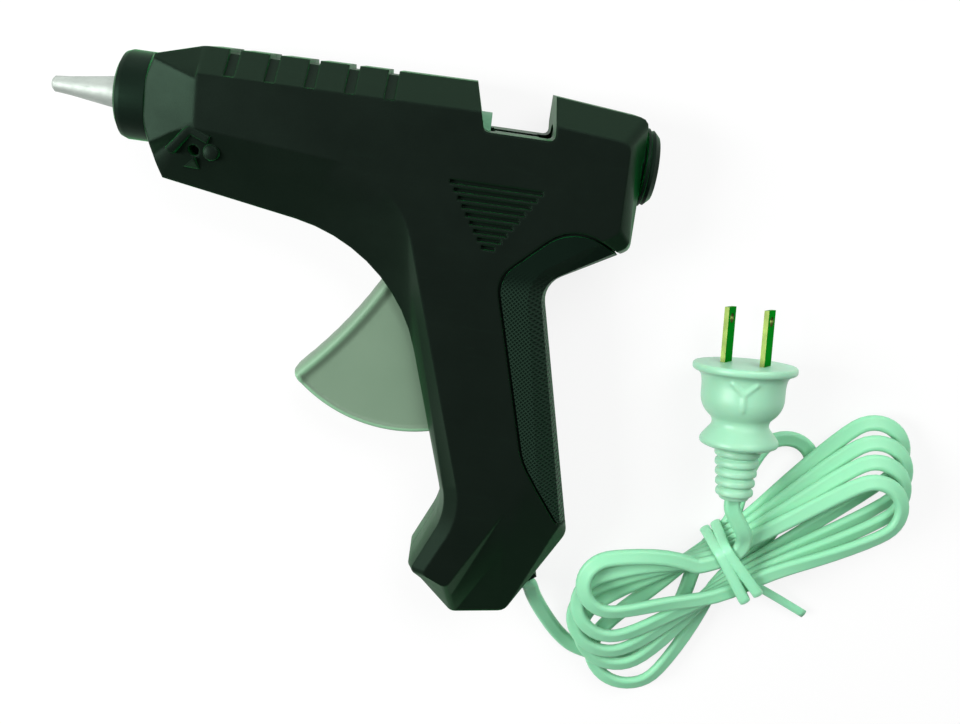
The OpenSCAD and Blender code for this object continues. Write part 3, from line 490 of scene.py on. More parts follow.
TIE_W = 1.8
TIE_T = 0.6
TIE_SIDES = 10
TIE_CLEAR = 1.55
TIE_OVER = 0.95
TIE_HALF = WAIST_HALF + CORD_W / 2 + TIE_CLEAR
TIE_LOW = 0.65
TIE_HIGH = CORD_T + TIE_LIFT + len(REACH_RIGHT) * LAYER_WAIST + TIE_OVER
TIE_CORNER = 2.2
TIE_CORNER_STEPS = 4
TIE_TURNS = [("tie_front", -2.1, 0.9), ("tie_back", 2.1, -0.9)]
LOWER_LEAN = -0.4
TIE_END = [(0, 0, 6), (2.4, 5.2, 5.6), (6.5, 14.4, 4), (11.7, 26.7, 2)]
TIE_END_W = 1.5
TIE_END_SIDES = 12
TIE_END_STEPS = 5


def oval(wide, thick, sides):
    turns = [2 * pi * k / sides for k in range(sides)]
    return [(wide * cos(a), thick * sin(a)) for a in turns]


def tie_route(u, lean):
    """Closed route of one turn of the tie round the hank's waist."""
    corners = [(-TIE_HALF, TIE_LOW), (TIE_HALF, TIE_LOW), (TIE_HALF, TIE_HIGH), (-TIE_HALF, TIE_HIGH)]
    route = []
    for i, corner in enumerate(corners):
        c = Vector(corner)
        a = (Vector(corners[i - 1]) - c).normalized() * TIE_CORNER
        b = (Vector(corners[(i + 1) % 4]) - c).normalized() * TIE_CORNER
        for k in range(TIE_CORNER_STEPS + 1):
            t = k / TIE_CORNER_STEPS
            v, z = c + a * (1 - t) ** 2 + b * t * t
            tilt = lean * (z - TIE_LOW) / TIE_HIGH * (1 if v > 0 else LOWER_LEAN)
            route.append(hank_place(u + tilt, v, z - HALF))
    return route


def make_tie():
    """The coated tie's three pieces."""
    pieces = []
    section = oval(TIE_W, TIE_T, TIE_SIDES)
    hank_run = turn((1, 0), HANK_ANGLE).to_3d()
    for name, u, lean in TIE_TURNS:
        route = tie_route(u, lean)
        bm = bmesh.new()
        rings = []
        for i, p in enumerate(route):
            along = (route[(i + 1) % len(route)] - route[i - 1]).normalized()
            out = along.cross(hank_run).normalized()
            rings.append([bm.verts.new(row(*(p + hank_run * x + out * y))) for x, y in section])
        bridge(bm, rings, closed=True)
        pieces.append(link(name, bm))
    points = [hank_place(u, -TIE_HALF - out, z - HALF) for u, out, z in TIE_END]
    route = through(points, TIE_END_STEPS)
    pieces.append(swept("tie_end", route, [0.0] * len(route), oval(TIE_END_W, TIE_T, TIE_END_SIDES)))
    for piece in pieces:
        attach(piece, BODY)
    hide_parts("cord_tie")
    return pieces


tie_pieces = make_tie()

# Trigger: finger paddle with a rolled lip and a beaded sole, on its hub and drive arm

PIVOT = Vector((83.4, -44.9))
LIP_TOP = PIVOT + Vector((-8, 3.6))
TIP_CORNER = PIVOT + Vector((-34.4, -31.8))
TIP_REACH = 5
LIP_SAG = 1.7
LIP_HALF = 6.0
LIP_STEPS = 160
WEB_HALF = 4.5
ROLL_W = 2.3
ROLL_FADE = 3.0
ROLL_POWER = 2.2
BEAD_W = 1.3
BEAD_FADE = 1.2
BEAD_HIGH = 0.9
BEAD_POWER = 2.6
PADDLE_R = 46.85
PADDLE_ROWS = 34
SOLE_ROWS = 16
SOLE_SHARE = 0.1
PADDLE_COLUMNS = 46
COLUMN_POWER = 1.8
TIP_ANGLE = -137.25
REAR_ANGLE = -66
HUB_R = 5
HUB_SIDES = 48
HUB_LAP = 20
PIVOT_BORE = 2.55
ARM_HALF = 2.9
ARM_END = PIVOT + Vector((6.549, 30.812))
ARM_END_R = 3.4
ARM_INSET = 0.5
ARM_FOOT = 0.4
DRIVE_R = 2
DRIVE_HALF = 6.1
PIN_SIDES = 36
CREASE_ANGLE = 50
LIP_DIR = (TIP_CORNER - LIP_TOP).normalized()
LIP_IN = Vector((-LIP_DIR.y, LIP_DIR.x))
HUB_REAR = PIVOT + turn((HUB_R, 0), REAR_ANGLE + HUB_LAP)
SOLE_END = PIVOT + turn((PADDLE_R, 0), REAR_ANGLE)


def lip_edge(u):
    """The paddle's front edge, a shallow hollow curve from its top to its tip."""
    bend = (LIP_TOP + TIP_CORNER) / 2 + LIP_IN * 2 * LIP_SAG
    return LIP_TOP * (1 - u) ** 2 + bend * 2 * u * (1 - u) + TIP_CORNER * u * u


def sole_edge(v):
    return PIVOT + turn((PADDLE_R, 0), TIP_ANGLE + (REAR_ANGLE - TIP_ANGLE) * v)


LIP_LINE = [lip_edge(k / LIP_STEPS) for k in range(LIP_STEPS + 1)]


def paddle_plan(u, v):
    """Point of the paddle: u from its top to its sole, v from its lip to its rear."""
    rear = HUB_REAR.lerp(SOLE_END, u)
    top = LIP_TOP.lerp(HUB_REAR, v)
    across = lip_edge(u).lerp(rear, v) + top.lerp(sole_edge(v), u)
    return across - LIP_TOP.lerp(TIP_CORNER, u).lerp(HUB_REAR.lerp(SOLE_END, u), v)


def rounded_off(distance, width, power):
    """Share of the full height that a rounded edge has at a distance from the edge."""
    if distance >= width:
        return 1.0
    return max(0.0, 1 - (1 - max(distance, 0.0) / width) ** power) ** (1 / power)


def paddle_height(p):
    """Half thickness of the paddle at a plan point."""
    from_lip = min((p - q).length for q in LIP_LINE)
    from_sole = PADDLE_R - (p - PIVOT).length
    roll = 1 - smooth(min(1, max(0, from_lip - ROLL_W) / ROLL_FADE))
    bead = 1 - smooth(min(1, max(0, from_sole - BEAD_W) / BEAD_FADE))
    high = min(LIP_HALF, WEB_HALF + (LIP_HALF - WEB_HALF) * roll + BEAD_HIGH * bead)
    return high * rounded_off(from_lip, ROLL_W, ROLL_POWER) * rounded_off(from_sole, BEAD_W, BEAD_POWER)


def tip_rounded(p):
    """The plan point, drawn in where it is near the paddle's sharp tip."""
    near = max(0, 1 - (p - TIP_CORNER).length / TIP_REACH)
    return p + (LIP_IN - LIP_DIR).normalized() * near * near


def add_paddle(bm):
    """Adds the paddle: two skins that meet at the lip and the sole, with rows closer at the sole."""
    us = [(1 - SOLE_SHARE) * k / PADDLE_ROWS for k in range(PADDLE_ROWS)]
    us += [1 - SOLE_SHARE * (1 - k / SOLE_ROWS) ** 2 for k in range(SOLE_ROWS + 1)]
    vs = [(k / PADDLE_COLUMNS) ** COLUMN_POWER for k in range(PADDLE_COLUMNS + 1)]
    upper = []
    lower = []
    for u in us:
        above = []
        below = []
        for v in vs:
            p = paddle_plan(u, v)
            edge = u == us[-1] or v == 0
            z = 0.0 if edge else paddle_height(p)
            q = tip_rounded(p)
            above.append(bm.verts.new(row(q.x, q.y, z)))
            below.append(above[-1] if edge else bm.verts.new(row(q.x, q.y, -z)))
        upper.append(above)
        lower.append(below)
    quads = []
    for i in range(len(us) - 1):
        for j in range(len(vs) - 1):
            quads.append([upper[i][j], upper[i + 1][j], upper[i + 1][j + 1], upper[i][j + 1]])
            quads.append([lower[i][j], lower[i][j + 1], lower[i + 1][j + 1], lower[i + 1][j]])
        quads.append([upper[i][-1], upper[i + 1][-1], lower[i + 1][-1], lower[i][-1]])
    for j in range(len(vs) - 1):
        quads.append([upper[0][j], upper[0][j + 1], lower[0][j + 1], lower[0][j]])
    for quad in quads:
        corners = list(dict.fromkeys(quad))
        if len(corners) > 2:
            bm.faces.new(corners)


def about(centre, side=1):
    """Places a form that is turned about an upright axis, on one side of the split plane."""
    return lambda v: row(centre.x + v.x, centre.y + v.y, v.z * side)


def add_prism(bm, lower, upper):
    """Adds a prism between two faces of as many points, in drawing millimetres."""
    low = [bm.verts.new(row(*p)) for p in lower]
    high = [bm.verts.new(row(*p)) for p in upper]
    bm.faces.new(low[::-1])
    bm.faces.new(high)
    n = len(low)
    for k in range(n):
        j = (k + 1) % n
        bm.faces.new((low[k], low[j], high[j], high[k]))


def crease(piece, angle):
    """Marks as sharp the edges that bend by more than an angle in degrees."""
    marks = piece.data.attributes.new("sharp_edge", "BOOLEAN", "EDGE")
    faces_of = {}
    for polygon in piece.data.polygons:
        for key in polygon.edge_keys:
            faces_of.setdefault(key, []).append(polygon.normal)
    for edge in piece.data.edges:
        pair = faces_of[edge.key]
        marks.data[edge.index].value = len(pair) == 2 and pair[0].angle(pair[1], 0) > radians(angle)


def make_trigger():
    """The trigger's paddle, hub, arm and drive pin, as one moulding."""
    bm = bmesh.new()
    add_paddle(bm)
    hub = [(PIVOT_BORE, -LIP_HALF), (HUB_R, -LIP_HALF), (HUB_R, LIP_HALF), (PIVOT_BORE, LIP_HALF)]
    add_turned(bm, hub, HUB_SIDES, about(PIVOT), closed=True)
    for r, half in ((ARM_END_R, ARM_HALF), (DRIVE_R, DRIVE_HALF)):
        add_turned(bm, [(0, -half), (r, -half), (r, half), (0, half)], PIN_SIDES, about(ARM_END))
    waist = ARM_END_R - ARM_INSET
    foot = PIVOT_BORE + ARM_FOOT
    plan = [
        PIVOT + Vector((-HUB_R, foot)), PIVOT + Vector((HUB_R, foot)),
        ARM_END + Vector((waist, 0)), ARM_END + Vector((-waist, 0)),
    ]
    add_prism(bm, [(q.x, q.y, -ARM_HALF) for q in plan], [(q.x, q.y, ARM_HALF) for q in plan])
    lever = link("trigger_lever", bm)
    crease(lever, CREASE_ANGLE)
    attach(lever, "trigger")
    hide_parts("trigger")
    return lever


trigger_lever = make_trigger()

# Stand sockets: a bent hood, a round tab and a low gusset about each socket, on both halves

HOOD_POINTS = [(10.9, -12.8), (13.7, -9.35), (15.5, -7.15), (16.5, -6.35), (17.9, -6.7), (21.9, -8.4)]
HOOD_SECTION = [(-1.3, 1.3), (-1.15, 0.6), (-0.9, 0.26), (0.0, 0.06), (0.6, 0.0), (1.1, 0.2), (1.3, 0.7)]
HOOD_STEPS = 6
TAB_AT = Vector((22.5, -11.8))
TAB_R = 2.35
TAB_TOP = 15.5
TAB_ROUNDING = [(0, 1.0), (0.1, 0.6), (0.3, 0.3), (0.85, 0.1)]
TAB_SIDES = 40
GUSSET = [(14.2, -17.2, -0.3), (18.9, -17.4, -0.3), (17.7, -14.0, 1.3)]
BEVEL_TOP = -5.4
BEVEL_FALL = 7.5 / 19.5
ROOT_DEPTH = 2.0


def bevel_height(y):
    """Height of the barrel's lower bevel above the split plane."""
    return HALF - max(0.0, BEVEL_TOP - y) * BEVEL_FALL


def add_hood(bm, side):
    """Adds the bent hood, a rounded rib that stands on the bevel."""
    path = through([Vector((x, y, 0)) for x, y in HOOD_POINTS], HOOD_STEPS)
    rings = []
    for i, p in enumerate(path):
        along = heading(path, i)
        across = Vector((-along.y, along.x, 0))
        low = bevel_height(p.y) - ROOT_DEPTH
        outline = [(p + across * x, HALF - down) for x, down in HOOD_SECTION]
        outline = [(outline[0][0], low)] + outline + [(outline[-1][0], low)]
        rings.append([bm.verts.new(row(q.x, q.y, z * side)) for q, z in outline])
    bridge(bm, rings)


def add_tab(bm, side):
    low = bevel_height(TAB_AT.y) - ROOT_DEPTH
    profile = [(0, low), (TAB_R, low)]
    profile += [(TAB_R - inward, TAB_TOP - down) for inward, down in TAB_ROUNDING] + [(0, TAB_TOP)]
    add_turned(bm, profile, TAB_SIDES, about(TAB_AT, side))


def add_gusset(bm, side):
    lower = [(x, y, (bevel_height(y) - ROOT_DEPTH) * side) for x, y, _ in GUSSET]
    upper = [(x, y, (bevel_height(y) + raised) * side) for x, y, raised in GUSSET]
    add_prism(bm, lower, upper)


def make_stand_hoods():
    hoods = []
    for name, side in (("stand_hood_front", 1), ("stand_hood_back", -1)):
        bm = bmesh.new()
        add_hood(bm, side)
        add_tab(bm, side)
        add_gusset(bm, side)
        hood = link(name, bm)
        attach(hood, BODY)
        hoods.append(hood)
    return hoods


stand_hoods = make_stand_hoods()

# Node helpers


def add_math(tree, operation, *values):
    """A math node's result; each value is a number or another node's socket."""
    node = tree.nodes.new("ShaderNodeMath")
    node.operation = operation
    for socket, value in zip(node.inputs, values):
        if isinstance(value, bpy.types.NodeSocket):
            tree.links.new(value, socket)
        else:
            socket.default_value = value
    return node.outputs["Value"]


def add_range(tree, value, low, high, to_low=0.0, to_high=1.0):
    """A value between two limits, carried over to two other limits."""
    node = tree.nodes.new("ShaderNodeMapRange")
    for label, number in (("From Min", low), ("From Max", high), ("To Min", to_low), ("To Max", to_high)):
        node.inputs[label].default_value = number
    tree.links.new(value, node.inputs["Value"])
    return node.outputs["Result"]


def add_noise(tree, coordinate, scale, detail, roughness=0.5):
    noise = tree.nodes.new("ShaderNodeTexNoise")
    noise.inputs["Detail"].default_value = detail
    noise.inputs["Roughness"].default_value = roughness
    tree.links.new(coordinate, noise.inputs["Vector"])
    tree.links.new(scale, noise.inputs["Scale"])
    return noise.outputs["Fac"]


def mix_colour(tree, factor, one, two):
    """A mix of two colours, each a plain one or another node's socket."""
    node = tree.nodes.new("ShaderNodeMix")
    node.data_type = "RGBA"
    tree.links.new(factor, node.inputs["Factor"])
    for socket, value in ((node.inputs["A"], one), (node.inputs["B"], two)):
        if isinstance(value, tuple):
            socket.default_value = (*value, 1.0)
        else:
            tree.links.new(value, socket)
    return node.outputs["Result"]


NOISE_LOW = 0.3
NOISE_HIGH = 0.7


def spread(tree, value, low, high):
    """A noise, which keeps near its middle, stretched over two limits."""
    return add_range(tree, value, NOISE_LOW, NOISE_HIGH, low, high)


# Shared effects, as node groups


def new_group(name, inputs, outputs):
    tree = bpy.data.node_groups.new(name, "ShaderNodeTree")
    for label, value in inputs:
        socket = tree.interface.new_socket(label, in_out="INPUT", socket_type="NodeSocketFloat")
        socket.default_value = value
    for label in outputs:
        tree.interface.new_socket(label, in_out="OUTPUT", socket_type="NodeSocketFloat")
    return tree, tree.nodes.new("NodeGroupInput"), tree.nodes.new("NodeGroupOutput")


def moulded_grain_group():
    """Spark-eroded mould grain and slow mottling of a moulded face."""
    tree, start, end = new_group(
        "moulded_grain", [("Grain Scale", 2600.0), ("Mottle Scale", 60.0)], ["Grain", "Mottle"]
    )
    place = tree.nodes.new("ShaderNodeTexCoord").outputs["Object"]
    grain = add_noise(tree, place, start.outputs["Grain Scale"], 3)
    mottle = add_noise(tree, place, start.outputs["Mottle Scale"], 4, 0.6)
    tree.links.new(grain, end.inputs["Grain"])
    tree.links.new(mottle, end.inputs["Mottle"])
    return tree


RUB_TURN = (0.3, 0.2, 0.6)
RUB_STRETCH = (1.0, 9.0, 4.0)
RUB_FROM = 0.58
RUB_FULL = 0.78


def rub_group():
    """Rubbed patches and light scratches, as a mask from 0 to 1."""
    tree, start, end = new_group("rubbed_marks", [("Scale", 90.0), ("Amount", 0.4)], ["Mask"])
    place = tree.nodes.new("ShaderNodeTexCoord").outputs["Object"]
    stretch = tree.nodes.new("ShaderNodeMapping")
    stretch.inputs["Rotation"].default_value = RUB_TURN
    stretch.inputs["Scale"].default_value = RUB_STRETCH
    tree.links.new(place, stretch.inputs["Vector"])
    noise = add_noise(tree, stretch.outputs["Vector"], start.outputs["Scale"], 5, 0.7)
    patches = add_range(tree, noise, RUB_FROM, RUB_FULL)
    tree.links.new(add_math(tree, "MULTIPLY", patches, start.outputs["Amount"]), end.inputs["Mask"])
    return tree


GRAIN = moulded_grain_group()
RUB = rub_group()


def use_group(tree, group, **values):
    node = tree.nodes.new("ShaderNodeGroup")
    node.node_tree = group
    for label, value in values.items():
        node.inputs[label.replace("_", " ")].default_value = value
    return node


# Finishes: grain is a scale and a depth in metres, rub is a colour, a scale and an amount

MOULD_GRAIN = (2600.0, 0.00003)
SOFT_GRAIN = (1500.0, 0.00002)
CAST_GRAIN = (900.0, 0.00004)
STAMPED_GRAIN = (900.0, 0.00003)
BRAID_GRAIN = (1800.0, 0.00006)
EDGE_SAMPLES = 4


def finish_of(name, colour, second, rough, grain=MOULD_GRAIN, mottle=60.0, rub=None, edge=0.0, **sockets):
    """A surface: two mixed colours, roughness and grain that vary over it, and rubbed marks."""
    material = bpy.data.materials.new(name)
    material.use_nodes = True
    tree = material.node_tree
    shader = tree.nodes["Principled BSDF"]
    grained = use_group(tree, GRAIN, Grain_Scale=grain[0], Mottle_Scale=mottle)
    tint = mix_colour(tree, grained.outputs["Mottle"], colour, second)
    roughness = spread(tree, grained.outputs["Mottle"], rough[0], rough[1])
    if rub is not None:
        marks = use_group(tree, RUB, Scale=rub[1], Amount=rub[2])
        tint = mix_colour(tree, marks.outputs["Mask"], tint, rub[0])
    tree.links.new(tint, shader.inputs["Base Color"])
    tree.links.new(roughness, shader.inputs["Roughness"])
    bump = tree.nodes.new("ShaderNodeBump")
    bump.inputs["Distance"].default_value = grain[1]
    tree.links.new(grained.outputs["Grain"], bump.inputs["Height"])
    if edge > 0:
        bevel = tree.nodes.new("ShaderNodeBevel")
        bevel.samples = EDGE_SAMPLES
        bevel.inputs["Radius"].default_value = edge
        tree.links.new(bevel.outputs["Normal"], bump.inputs["Normal"])
    tree.links.new(bump.outputs["Normal"], shader.inputs["Normal"])
    for label, value in sockets.items():
        shader.inputs[label.replace("_", " ")].default_value = value
    return material


def dress(piece, material):
    piece.data.materials.clear()
    piece.data.materials.append(material)


housing_green = finish_of(
    "housing_green", (0.0040, 0.0052, 0.0047), (0.0052, 0.0068, 0.0061), (0.34, 0.44),
    rub=((0.0070, 0.0130, 0.0095), 70.0, 0.25), edge=0.0010, Specular_IOR_Level=0.1,
    Specular_Tint=(0.5, 1.0, 0.65, 1.0), Sheen_Weight=0.18, Sheen_Roughness=0.42,
    Sheen_Tint=(0.0, 1.0, 0.16, 1.0),
)
collar_black = finish_of(
    "collar_black", (0.0034, 0.0068, 0.0047), (0.0046, 0.0085, 0.0062), (0.40, 0.52), edge=0.0004,
    Specular_IOR_Level=0.1, Specular_Tint=(0.4, 1.0, 0.6, 1.0), Sheen_Weight=0.25, Sheen_Roughness=0.3,
    Sheen_Tint=(0.0, 1.0, 0.16, 1.0),
)
trigger_pale = finish_of(
    "trigger_pale", (0.132, 0.208, 0.139), (0.150, 0.230, 0.156), (0.40, 0.52),
    rub=((0.130, 0.200, 0.140), 80.0, 0.25), edge=0.0005, Specular_IOR_Level=0.3,
)
carriage_pale = finish_of(
    "carriage_pale", (0.07, 0.22, 0.12), (0.09, 0.25, 0.14), (0.40, 0.52),
    edge=0.0004, Specular_IOR_Level=0.3,
)
lead_mint = finish_of(
    "lead_mint", (0.21, 0.60, 0.34), (0.27, 0.60, 0.38), (0.36, 0.48), grain=SOFT_GRAIN, mottle=45.0,
    Specular_IOR_Level=0.35, Subsurface_Weight=0.08, Subsurface_Scale=0.002,
)
plug_mint = finish_of(
    "plug_mint", (0.26, 0.57, 0.37), (0.32, 0.60, 0.42), (0.32, 0.44), grain=SOFT_GRAIN, mottle=50.0,
    Specular_IOR_Level=0.4, Subsurface_Weight=0.12, Subsurface_Scale=0.003,
)
tie_mint = finish_of(
    "tie_mint", (0.26, 0.72, 0.42), (0.31, 0.70, 0.45), (0.3, 0.4), grain=SOFT_GRAIN,
    Specular_IOR_Level=0.4, Subsurface_Weight=0.08, Subsurface_Scale=0.002,
)
nozzle_bare = finish_of(
    "nozzle_bare", (0.47, 0.52, 0.48), (0.30, 0.34, 0.31), (0.50, 0.64), grain=CAST_GRAIN, mottle=160.0,
    rub=((0.17, 0.21, 0.18), 150.0, 0.8), Metallic=0.55,
)
steel_plate = finish_of(
    "steel_plate", (0.52, 0.53, 0.52), (0.43, 0.44, 0.43), (0.25, 0.38), mottle=120.0, Metallic=1.0
)
blade_brass = finish_of(
    "blade_brass", (0.13, 0.17, 0.045), (0.10, 0.15, 0.04), (0.42, 0.55), grain=STAMPED_GRAIN, mottle=140.0,
    rub=((0.05, 0.15, 0.035), 100.0, 0.6), Metallic=1.0, Specular_Tint=(0.3, 1.0, 0.35, 1.0),
)
silicone_red = finish_of("silicone_red", (0.52, 0.11, 0.06), (0.46, 0.09, 0.05), (0.5, 0.6))
heat_board = finish_of("heat_board", (0.48, 0.37, 0.20), (0.40, 0.30, 0.16), (0.6, 0.8), mottle=200.0)
wire_sleeve = finish_of(
    "wire_sleeve", (0.60, 0.62, 0.56), (0.52, 0.54, 0.49), (0.5, 0.6), grain=BRAID_GRAIN
)

# Mask limits for the painted shade on the blades' facing sides and the painted highlight on thin edges
FACING_SHADE_FROM = 0.6
FACING_SHADE_FULL = 0.9
EDGE_HIGHLIGHT_FROM = 0.505
EDGE_HIGHLIGHT_FULL = 0.56
MESH_PITCH = 0.0013
MESH_WRAP = 0.6
MESH_HIGH = 0.00013
MESH_TOP = row(0, -32).y
MESH_FULL = row(0, -42).y


def lay_over(material, mask, colour):
    """Lays a colour over a finish where the mask is full."""
    tree = material.node_tree
    base = tree.nodes["Principled BSDF"].inputs["Base Color"]
    tree.links.new(mix_colour(tree, mask, base.links[0].from_socket, colour), base)


def paint_facing_shade(material, direction, colour):
    """Paints shade, a darker colour, on the faces that look along a direction, either way, as on the broad
    sides of a blade.
    """
    tree = material.node_tree
    geometry = tree.nodes.new("ShaderNodeNewGeometry")
    dot = tree.nodes.new("ShaderNodeVectorMath")
    dot.operation = "DOT_PRODUCT"
    dot.inputs[1].default_value = direction
    tree.links.new(geometry.outputs["Normal"], dot.inputs[0])
    facing = add_math(tree, "ABSOLUTE", dot.outputs["Value"])
    lay_over(material, add_range(tree, facing, FACING_SHADE_FROM, FACING_SHADE_FULL), colour)


def paint_edge_highlight(material, colour):
    """Lays a painted highlight, a paler colour, over the thin outer edges of a moulding."""
    tree = material.node_tree
    geometry = tree.nodes.new("ShaderNodeNewGeometry")
    highlight_mask = add_range(tree, geometry.outputs["Pointiness"], EDGE_HIGHLIGHT_FROM, EDGE_HIGHLIGHT_FULL)
    lay_over(material, highlight_mask, colour)


def grip_finish():
    """Soft insert, with a fine diagonal mesh on the part that the palm covers."""
    material = finish_of(
        "grip_mesh", (0.0026, 0.0058, 0.0040), (0.0034, 0.0072, 0.0050), (0.42, 0.55),
        Specular_IOR_Level=0.08, Specular_Tint=(0.4, 1.0, 0.6, 1.0), Sheen_Weight=0.14, Sheen_Roughness=0.3,
        Sheen_Tint=(0.0, 1.0, 0.2, 1.0),
    )
    tree = material.node_tree
    place = tree.nodes.new("ShaderNodeTexCoord").outputs["Object"]
    split = tree.nodes.new("ShaderNodeSeparateXYZ")
    tree.links.new(place, split.inputs["Vector"])
    waves = []
    for lean in (1.0, -1.0):
        slant = add_math(tree, "MULTIPLY_ADD", split.outputs["X"], lean, split.outputs["Y"])
        across = add_math(tree, "MULTIPLY_ADD", split.outputs["Z"], MESH_WRAP * lean, slant)
        phase = add_math(tree, "MULTIPLY", across, 2 * pi / MESH_PITCH)
        waves.append(add_math(tree, "SINE", phase))
    strands = add_math(tree, "MAXIMUM", *waves)
    palm = add_range(tree, split.outputs["Y"], MESH_TOP, MESH_FULL)
    mesh = add_math(tree, "MULTIPLY", strands, palm)
    normal = tree.nodes["Principled BSDF"].inputs["Normal"]
    bump = tree.nodes.new("ShaderNodeBump")
    bump.inputs["Distance"].default_value = MESH_HIGH
    tree.links.new(mesh, bump.inputs["Height"])
    tree.links.new(normal.links[0].from_socket, bump.inputs["Normal"])
    tree.links.new(bump.outputs["Normal"], normal)
    lay_over(material, spread(tree, mesh, 0.0, 1.0), (0.0130, 0.0270, 0.0180))
    return material


# Painted highlight: a paler colour on the trigger's thin lip and rim edges
paint_edge_highlight(trigger_pale, (0.20, 0.44, 0.25))
BLADE_BROADSIDE = tuple(PLUG_TURN.to_3x3() @ Vector((1, 0, 0)))
# Painted shade: the blades' broad sides get a darker green than their edges, by the way they face
paint_facing_shade(blade_brass, BLADE_BROADSIDE, (0.008, 0.17, 0.025))
grip_mesh = grip_finish()

FINISHES = {
    "left_housing": housing_green,
    "right_housing": housing_green,
    "rear_grip": grip_mesh,
    "nozzle": nozzle_bare,
    "nozzle_collar": collar_black,
    "melt_chamber": nozzle_bare,
    "front_support": heat_board,
    "rear_support": heat_board,
    "heater_element": heat_board,
    "heater_clip": steel_plate,
    "inlet_sleeve": silicone_red,
    "sleeve_clamp": steel_plate,
    "inlet_ring": collar_black,
    "feed_carriage": carriage_pale,
    "grip_pawl": steel_plate,
    "pawl_pin": steel_plate,
    "trigger_pin": steel_plate,
    "return_spring": steel_plate,
    "housing_screws": steel_plate,
    "cord_bush": collar_black,
    "cord_clamp": carriage_pale,
    "clamp_screws": steel_plate,
    "lead_wires": wire_sleeve,
    "wire_crimps": blade_brass,
    "plug_blades": blade_brass,
}

JOIN_WITHIN = 1e-6
SOFT_ANGLE = 22


def soft_shading_group(angle):
    """Joins a solid's facets and shades the shallow edges between them smooth."""
    tree = bpy.data.node_groups.new("soft_shading", "GeometryNodeTree")
    for way in ("INPUT", "OUTPUT"):
        tree.interface.new_socket("Geometry", in_out=way, socket_type="NodeSocketGeometry")
    start = tree.nodes.new("NodeGroupInput")
    end = tree.nodes.new("NodeGroupOutput")
    joined = tree.nodes.new("GeometryNodeMergeByDistance")
    joined.inputs["Distance"].default_value = JOIN_WITHIN
    faces = tree.nodes.new("GeometryNodeSetShadeSmooth")
    faces.domain = "FACE"
    edges = tree.nodes.new("GeometryNodeSetShadeSmooth")
    edges.domain = "EDGE"
    bend = tree.nodes.new("GeometryNodeInputMeshEdgeAngle")
    shallow = tree.nodes.new("FunctionNodeCompare")
    shallow.data_type = "FLOAT"
    shallow.operation = "LESS_THAN"
    shallow.inputs["B"].default_value = angle
    tree.links.new(start.outputs["Geometry"], joined.inputs["Geometry"])
    tree.links.new(joined.outputs["Geometry"], faces.inputs["Geometry"])
    tree.links.new(faces.outputs["Geometry"], edges.inputs["Geometry"])
    tree.links.new(bend.outputs["Unsigned Angle"], shallow.inputs["A"])
    tree.links.new(shallow.outputs["Result"], edges.inputs["Shade Smooth"])
    tree.links.new(edges.outputs["Geometry"], end.inputs["Geometry"])
    return tree


SOFT_SHADING = soft_shading_group(radians(SOFT_ANGLE))


def shade_soft(piece):
    """Shades a piece's shallow edges smooth, with its large faces kept flat."""
    shaded = piece.modifiers.new("soft_shading", "NODES")
    shaded.node_group = SOFT_SHADING
    evened = piece.modifiers.new("even_normals", "WEIGHTED_NORMAL")
    evened.keep_sharp = True


for node_name, material in FINISHES.items():
    dress(nodes[node_name], material)
    shade_soft(nodes[node_name])

dress(trigger_lever, trigger_pale)
for piece in stand_hoods:
    dress(piece, housing_green)
    shade_soft(piece)
dress(mains_lead, lead_mint)
dress(plug_moulding, plug_mint)
for piece in tie_pieces:
    dress(piece, tie_mint)

# Floor and studio light

FLOOR_HALF = 40.0
FLOOR_DROP = 0.0004
FLOOR_COLOUR = (0.86, 0.87, 0.86, 1.0)
FLOOR_ROUGH = 0.9
FLOOR_GLOW = 0.85
SKY_FROM = -0.75
SKY_TO = 0.25
SKY_DIM = 0.06
SKY_FULL = 0.33


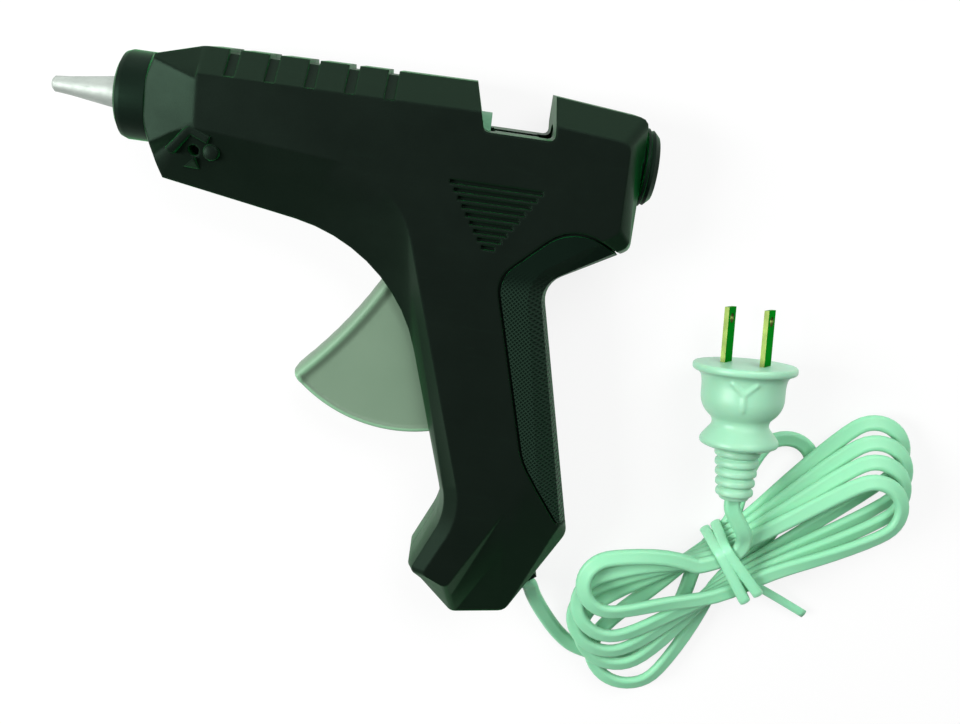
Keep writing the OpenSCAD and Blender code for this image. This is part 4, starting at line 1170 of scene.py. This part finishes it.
def make_floor():
    """A pale floor that looks white to the camera and in reflections, and still takes shadows."""
    bm = bmesh.new()
    signs = ((-1, -1), (1, -1), (1, 1), (-1, 1))
    bm.faces.new([bm.verts.new((x * FLOOR_HALF, y * FLOOR_HALF, -FLOOR_DROP)) for x, y in signs])
    floor = link("pale_floor", bm, False)
    material = bpy.data.materials.new("pale_floor")
    material.use_nodes = True
    tree = material.node_tree
    shader = tree.nodes["Principled BSDF"]
    shader.inputs["Base Color"].default_value = FLOOR_COLOUR
    shader.inputs["Roughness"].default_value = FLOOR_ROUGH
    light = tree.nodes.new("ShaderNodeEmission")
    light.inputs["Strength"].default_value = 1.0
    ray = tree.nodes.new("ShaderNodeLightPath")
    mirrored = add_math(tree, "MAXIMUM", ray.outputs["Is Glossy Ray"], ray.outputs["Is Transmission Ray"])
    seen = add_math(tree, "MAXIMUM", ray.outputs["Is Camera Ray"], mirrored)
    mix = tree.nodes.new("ShaderNodeMixShader")
    tree.links.new(add_math(tree, "MULTIPLY", seen, FLOOR_GLOW), mix.inputs["Fac"])
    tree.links.new(shader.outputs["BSDF"], mix.inputs[1])
    tree.links.new(light.outputs["Emission"], mix.inputs[2])
    tree.links.new(mix.outputs["Shader"], tree.nodes["Material Output"].inputs["Surface"])
    floor.data.materials.append(material)


def softbox(name, at, target, size, power):
    """A plain white lamp with a rectangular face, aimed at a point."""
    data = bpy.data.lights.new(name, "AREA")
    data.shape = "RECTANGLE"
    data.size = size[0]
    data.size_y = size[1]
    data.energy = power
    lamp = bpy.data.objects.new(name, data)
    bpy.context.collection.objects.link(lamp)
    lamp.location = at
    aim = (Vector(target) - Vector(at)).normalized()
    lamp.rotation_euler = aim.to_track_quat("-Z", "Y").to_euler()


def make_sky():
    """Plain white light from all round, dimmer from the side of the handle's foot."""
    world = bpy.data.worlds.new("studio")
    bpy.context.scene.world = world
    world.use_nodes = True
    tree = world.node_tree
    backdrop = tree.nodes["Background"]
    backdrop.inputs["Color"].default_value = (1.0, 1.0, 1.0, 1.0)
    direction = tree.nodes.new("ShaderNodeTexCoord")
    parts = tree.nodes.new("ShaderNodeSeparateXYZ")
    tree.links.new(direction.outputs["Generated"], parts.inputs["Vector"])
    strength = add_range(tree, parts.outputs["Y"], SKY_FROM, SKY_TO, SKY_DIM, SKY_FULL)
    strength.node.interpolation_type = "SMOOTHSTEP"
    tree.links.new(strength, backdrop.inputs["Strength"])


make_floor()
softbox("edge_softbox", (-0.05, 0.95, 0.12), (0.0, 0.06, 0.02), (1.5, 0.24), 2.0)
softbox("key_softbox", (0.35, 0.75, 0.85), (0.03, 0.0, 0.0), (0.8, 0.6), 9.2)
softbox("nose_softbox", (-0.68, 0.02, 0.58), (-0.06, 0.06, 0.02), (0.35, 0.5), 10.2)
make_sky()
bpy.context.scene.view_settings.view_transform = "Standard"
